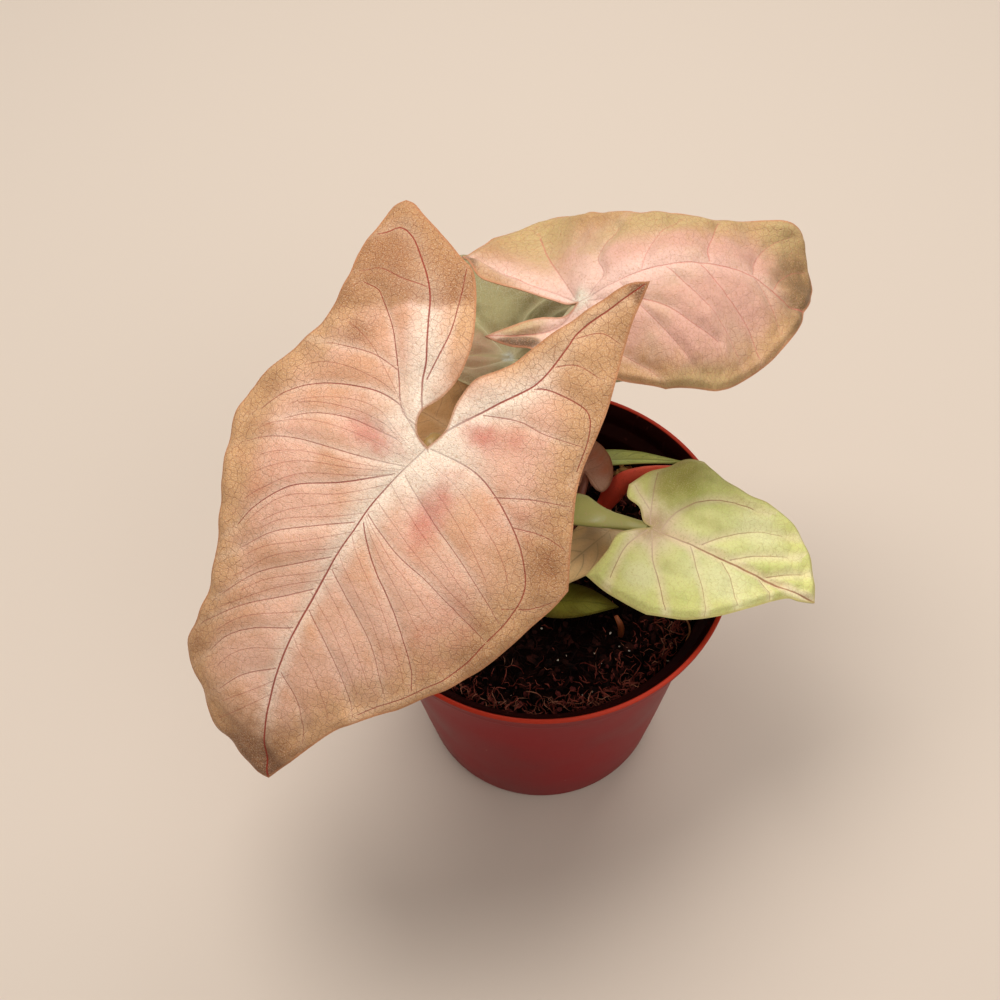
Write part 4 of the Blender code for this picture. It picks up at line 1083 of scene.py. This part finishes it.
def front_faint(rng):
    """Faint veins of the largest leaf, between its neighbouring laterals"""
    side, thin = FRONT_VEINS["side"], FRONT_VEINS["thin"]
    pairs = [(side[0], side[2], 2), (side[2], thin[0], 1), (side[2], thin[1], 2), (thin[1], side[3], 3),
             (side[3], thin[2], 3), (thin[2], thin[3], 2), (thin[3], thin[4], 2), (thin[4], thin[5], 1),
             (thin[5], thin[6], 1), (thin[7], side[4][:8], 2), (thin[7], thin[8], 2), (thin[8], side[5], 2),
             (side[5], thin[9], 2), (thin[9], thin[10], 2), (thin[10], thin[11], 1)]
    lines = [line for first, second, count in pairs for line in between(first, second, count, rng)]
    last = [(8.3, 74), (14, 82), (20, 91)]
    return lines + [last] + between(thin[6], last, 1, rng)


# screen colours of each leaf's skin
TONE_KEYS = ("centre", "blotch", "margin", "halo", "vein", "spot_0", "spot_1", "spot_2", "under")
TONES = {
    "front": ((238, 186, 160), (222, 164, 128), (214, 166, 114), (255, 238, 218), (148, 44, 32), (146, 92, 46),
              (88, 44, 6), (206, 112, 98), (196, 152, 128)),
    "back": ((220, 168, 150), (212, 172, 144), (190, 150, 94), (246, 208, 194), (204, 116, 104),
             (190, 168, 112), (70, 56, 4), (226, 226, 206), (186, 160, 126)),
    "middle": ((152, 142, 96), (132, 122, 78), (148, 126, 84), (216, 208, 166), (204, 194, 150),
               (190, 152, 124), (214, 220, 214), (176, 136, 108), (160, 150, 112)),
    "rear": ((180, 134, 86), (160, 116, 72), (150, 106, 62), (206, 168, 126), (120, 80, 50), (120, 80, 48),
             (120, 90, 50), (200, 160, 120), (168, 130, 92)),
    "green": ((234, 234, 158), (194, 206, 110), (220, 220, 134), (252, 230, 200), (160, 104, 72),
              (158, 152, 60), (186, 150, 112), (238, 236, 180), (176, 180, 120)),
    "tan": ((255, 218, 158), (242, 198, 138), (244, 206, 144), (212, 184, 142), (150, 112, 76), (130, 112, 60),
            (150, 120, 84), (190, 160, 126), (150, 124, 88)),
    "mauve": ((170, 98, 70), (152, 88, 64), (156, 104, 72), (176, 128, 104), (98, 50, 40), (134, 84, 62),
              (110, 80, 50), (190, 150, 126), (140, 96, 76)),
    "fresh": ((196, 204, 112), (170, 182, 88), (200, 210, 114), (214, 220, 146), (104, 108, 60), (120, 130, 60),
              (110, 120, 50), (160, 160, 100), (140, 146, 84)),
    "olive": ((84, 68, 4), (66, 54, 2), (76, 64, 4), (128, 124, 40), (70, 60, 10), (150, 148, 60), (60, 56, 8),
              (150, 150, 60), (96, 92, 30))}

# coloured areas, on the back leaf two of them painted shade: which spot colour, across, along, half width,
# half length, and for some the rim's crispness and the strength
SPOTS = {
    "front": [(0, 34, -36, 17, 11, 1, 0.6), (0, 29, -15, 4.5, 4, 1, 0.8), (0, -38, 9, 6, 7, 1, 0.8),
              (0, -25, -50, 8, 12, 1, 0.35), (0, 44, 10, 5, 20, 1, 0.35), (0, -34, 36, 6, 12, 1, 0.5),
              (0, 33, 74, 5, 10, 1, 0.5), (1, 2, 98, 20, 15), (1, -26.5, -57.5, 5, 6, 2, 1),
              (0, 4, 88, 16, 12, 1, 0.5), (2, -9, 13, 5, 12, 1, 0.8), (2, -11, -8.5, 6.5, 3.8, 1, 0.85),
              (2, -18.5, -11.5, 7, 4.5, 1, 0.5), (2, 13, 4, 9, 4, 1, 0.8), (2, -24, 34, 9, 16, 1, 0.35),
              (2, 30, 22, 12, 14, 1, 0.3), (2, -27, 2, 10, 10, 1, 0.3)],
    # back: the dark spot on the near lobe's outer margin (6.5, -17.2) is painted shadow under its curled edge,
    # and the thin dark band at the far lobe's tip (-19.5, -23.5) is painted shade on its turned edge
    "back": [(0, -16, 30, 5, 26), (0, -28, -4, 14, 8), (0, -12, 62, 6, 8), (1, 7, 66, 16, 10),
             (0, 2, -16, 4, 7), (1, 6.5, -17.2, 1.9, 6.2, 4, 1), (1, -19.5, -23.5, 5, 1.6),
             (2, -0.5, 1, 3.2, 3.6), (0, 31, 22, 5, 22)],
    "middle": [(0, 2, -9, 8, 7), (0, -3, -6, 5, 4), (2, -4, -9, 5, 3), (1, 0, 0, 1.8, 1.8, 2, 1)],
    "green": [(0, -16, 2, 10, 8), (0, -7, 14, 3, 11, 1, 0.45), (0, 9, 9, 3, 7, 1, 0.45),
              (0, -13, 30, 3, 10, 1, 0.35), (0, 14, 27, 3, 8, 1, 0.3), (1, 0, 0, 5, 5), (2, 6, 22, 7, 12),
              (2, -12, 26, 6, 8), (2, 14, 2, 5, 5)],
    "rear": [(0, 0, 0, 8, 5)], "tan": [(2, 3, 3, 2, 6)], "mauve": [(2, 4, -4, 3, 3)],
    "fresh": [], "olive": [(0, 2, 9, 3, 5)]}

# where the two largest leaves turn to their margin colour: see leaf_look
ZONES = {"front": [(0.49, -0.87, 31.6, 3.0, 1.0), (-0.57, -0.82, 27.0, 12.0, 0.35),
                   (-1.0, 0.12, 21.0, 20.0, 0.5), (1.0, 0.1, 34.0, 14.0, 0.12), (0.0, 1.0, 72.0, 20.0, 0.3)],
         "back": [(0.1, 1.0, 50.0, 16.0, 0.3), (-1.0, 0.2, 20.0, 14.0, 0.2), (1.0, 0.0, 25.0, 8.0, 0.3)]}

# the other values of leaf_look
PLAIN_SKIN = {"margin": (2.0, 13.0), "halo": (4.6, 46.0, 0.9, 0.3), "vein": 0.45, "net": 0.36,
              "sinus": (3.0, 9.0), "grain": 1.0, "glow": 0.68}
SMALL_SKIN = {**PLAIN_SKIN, "margin": (0.5, 4.0), "halo": (1.6, 16.0, 0.6, 0.3), "net": 0.22, "grain": 0.5}
SKINS = {"front": {**PLAIN_SKIN, "halo": (4.2, 50.0, 0.9, 0.5), "vein": 0.9, "net": 0.44,
                   "sinus": (12.0, 30.0)},
         "back": {**PLAIN_SKIN, "vein": 0.6},
         "middle": {**PLAIN_SKIN, "halo": (1.4, 20.0, 0.6, 1.0)},
         "green": {**PLAIN_SKIN, "halo": (2.4, 26.0, 0.75, 0.75), "vein": 0.85, "net": 0.22, "glow": 1.2}}

# rows made how many times finer, rise between the veins, depth of their grooves, height of ripples
RELIEF = {"front": (8, 0.38, 0.16, 0.60), "back": (7, 0.70, 0.30, 0.60), "middle": (7, 1.8, 0.70, 0.45),
          "rear": (5, 0.25, 0.16, 0.30), "green": (7, 1.1, 0.45, 0.45), "tan": (5, 0.20, 0.15, 0.15),
          "mauve": (4, 0.18, 0.14, 0.10), "fresh": (4, 0.10, 0.12, 0.08), "olive": (4, 0.14, 0.12, 0.10)}

# screen colours of each stalk at the soil, at the leaf and in its streaks
STALK_TONES = {
    "front": ((176, 120, 92), (150, 118, 66), (136, 98, 62)),
    "back": ((150, 150, 96), (206, 196, 158), (196, 150, 120)),
    "middle": ((150, 146, 96), (190, 182, 136), (176, 140, 104)),
    "rear": ((160, 120, 84), (186, 146, 104), (140, 96, 64)),
    "green": ((110, 114, 46), (156, 152, 86), (176, 140, 104)),
    "tan": ((150, 124, 76), (176, 146, 96), (130, 96, 60)),
    "mauve": ((150, 84, 66), (176, 110, 88), (124, 60, 48)),
    "fresh": ((130, 140, 70), (150, 156, 86), (110, 120, 56)),
    "olive": ((96, 96, 26), (110, 108, 34), (70, 66, 14))}

# colours of the fine soil bits, dark and light, and how large their patches are
COIR = {"coir_dark": ((12, 5, 4), (40, 17, 13)), "coir_red": ((86, 30, 24), (150, 76, 62)),
        "coir_pale": ((142, 84, 66), (190, 132, 104)), "coir_clumps": ((40, 14, 14), (104, 46, 42)),
        "bark_chips": ((14, 6, 5), (56, 24, 18)), "pale_specks": ((196, 180, 160), (236, 226, 208), 2.0),
        "bark_crumbs": ((120, 66, 36), (206, 160, 96), 0.6)}

# each lamp: its place in m, size, power and colour, all turned to a point over the soil
LAMPS = {"key": ((-0.17, 0.14, 0.86), 0.42, 4.2, (1.0, 0.98, 0.95)),
         "back": ((0.26, 0.46, 0.78), 0.5, 2.2, (1.0, 0.98, 0.95)),
         "fill": ((0.42, -0.50, 0.80), 0.7, 1.8, (1.0, 0.97, 0.94))}
LAMP_TARGET = (0, 0, 0.08)
WORLD_COLOUR, WORLD_POWER = (1.0, 0.97, 0.94, 1), 0.36
FLOOR_TONE, FLOOR_HALF = (216, 201, 186), 3.0
CAMERA_PLACE, CAMERA_LENS, SENSOR = (-0.0106, -0.2187, 0.4714), 57.6, 36.0
LOOK_DOWN, ROLL = 58.23, -2.30    # degrees below level, and turned about the line of sight


def make_plant():
    veins = {"front": {**FRONT_VEINS, "faint": front_faint}, "back": BACK_VEINS, "green": GREEN_VEINS,
             "middle": plain_veins(MIDDLE_BLADE, 6)}
    for number, leaf in enumerate(LEAVES):
        name = leaf["name"]
        look = leaf_look("skin_" + name, TONES[name], **SKINS.get(name, SMALL_SKIN), zones=ZONES.get(name, ()),
                         faint=name == "front")
        finer, quilt, groove, waves = RELIEF[name]
        finer = finer
        make_leaf(leaf, veins.get(name) or plain_veins(leaf["blade"], 5), look, finer, quilt, groove, waves,
                  SPOTS[name], 3.0 + number)
        make_stalk(leaf, stalk_look("stalk_skin_" + name, *STALK_TONES[name]))
    coral = stalk_look("new_leaf_skin", (238, 78, 58), (250, 104, 78), (196, 56, 40))
    spear = stalk_bmesh(SPEAR_ROUTE, [(width, width) for width in SPEAR_WIDTHS], 28, 60, seam=0.16)
    show("fine_new_leaf", from_bmesh("fine_new_leaf", spear), coral, "new_leaf")
    dry = stalk_look("stub_skin", (120, 60, 30), (168, 96, 60), (90, 44, 24))
    stub = stalk_bmesh(STUB_ROUTE, [(0.9, 0.9), (0.8, 0.8), (0.55, 0.5)], 16, 20, ridges=0.08)
    show("fine_old_stub", from_bmesh("fine_old_stub", stub), dry, "old_stub")


def make_root(look):
    """One long pale root that leans against the wall by the right side"""
    route = [(35.6, -29.0), (36.4, -28.0, 78.2), (38.2, -25.0, 80.6), (39.8, -20.5, 80.2), (38.8, -16.0, 78.6),
             (35.0, -13.8, 76.8)]
    bm = stalk_bmesh(route, [(0.30, 0.30), (0.34, 0.32), (0.26, 0.26), (0.12, 0.12)], 8, 44, foot_depth=1.0)
    piece = show("soil_root", from_bmesh("soil_root", bm), look)


def make_stage():
    bm = bmesh.new()
    bmesh.ops.create_grid(bm, x_segments=1, y_segments=1, size=FLOOR_HALF)
    mesh = bpy.data.meshes.new("floor")
    bm.to_mesh(mesh)
    bm.free()
    floor = bpy.data.objects.new("floor", mesh)
    bpy.context.scene.collection.objects.link(floor)
    look = Look("floor_pale", 0.9, Specular_IOR_Level=0.1)
    look.feed(look.shader.inputs["Base Color"], paint(*FLOOR_TONE))
    mesh.materials.append(look.material)


def make_lamp(name, place, size, power, colour):
    data = bpy.data.lights.new(name, "AREA")
    data.shape, data.size, data.energy, data.color = "DISK", size, power, colour
    lamp = bpy.data.objects.new(name, data)
    lamp.location = place
    lamp.rotation_euler = (Vector(LAMP_TARGET) - Vector(place)).to_track_quat("-Z", "Y").to_euler()
    bpy.context.scene.collection.objects.link(lamp)


def make_world():
    world = bpy.data.worlds.new("studio")
    world.use_nodes = True
    inputs = world.node_tree.nodes["Background"].inputs
    inputs["Color"].default_value, inputs["Strength"].default_value = WORLD_COLOUR, WORLD_POWER
    bpy.context.scene.world = world
    bpy.context.scene.view_settings.view_transform = "Standard"


def make_camera():
    data = bpy.data.cameras.new("camera")
    data.lens, data.sensor_width, data.clip_start = CAMERA_LENS, SENSOR, 0.01
    camera = bpy.data.objects.new("camera", data)
    camera.rotation_mode = "XYZ"
    camera.matrix_world = (Matrix.Translation(CAMERA_PLACE)
                           @ Matrix.Rotation(math.radians(90 - LOOK_DOWN), 4, "X")
                           @ Matrix.Rotation(math.radians(ROLL), 4, "Z"))
    bpy.context.scene.collection.objects.link(camera)
    bpy.context.scene.camera = camera


make_plant()
make_pot(pot_look())
make_soil(soil_look())
make_soil_bits({name: coir_look(name, *values) for name, values in COIR.items()})
make_root(coir_look("root_skin", (150, 96, 62), (196, 142, 100)))
make_stage()
for lamp_name, lamp_values in LAMPS.items():
    make_lamp(lamp_name, *lamp_values)
make_world()
make_camera()
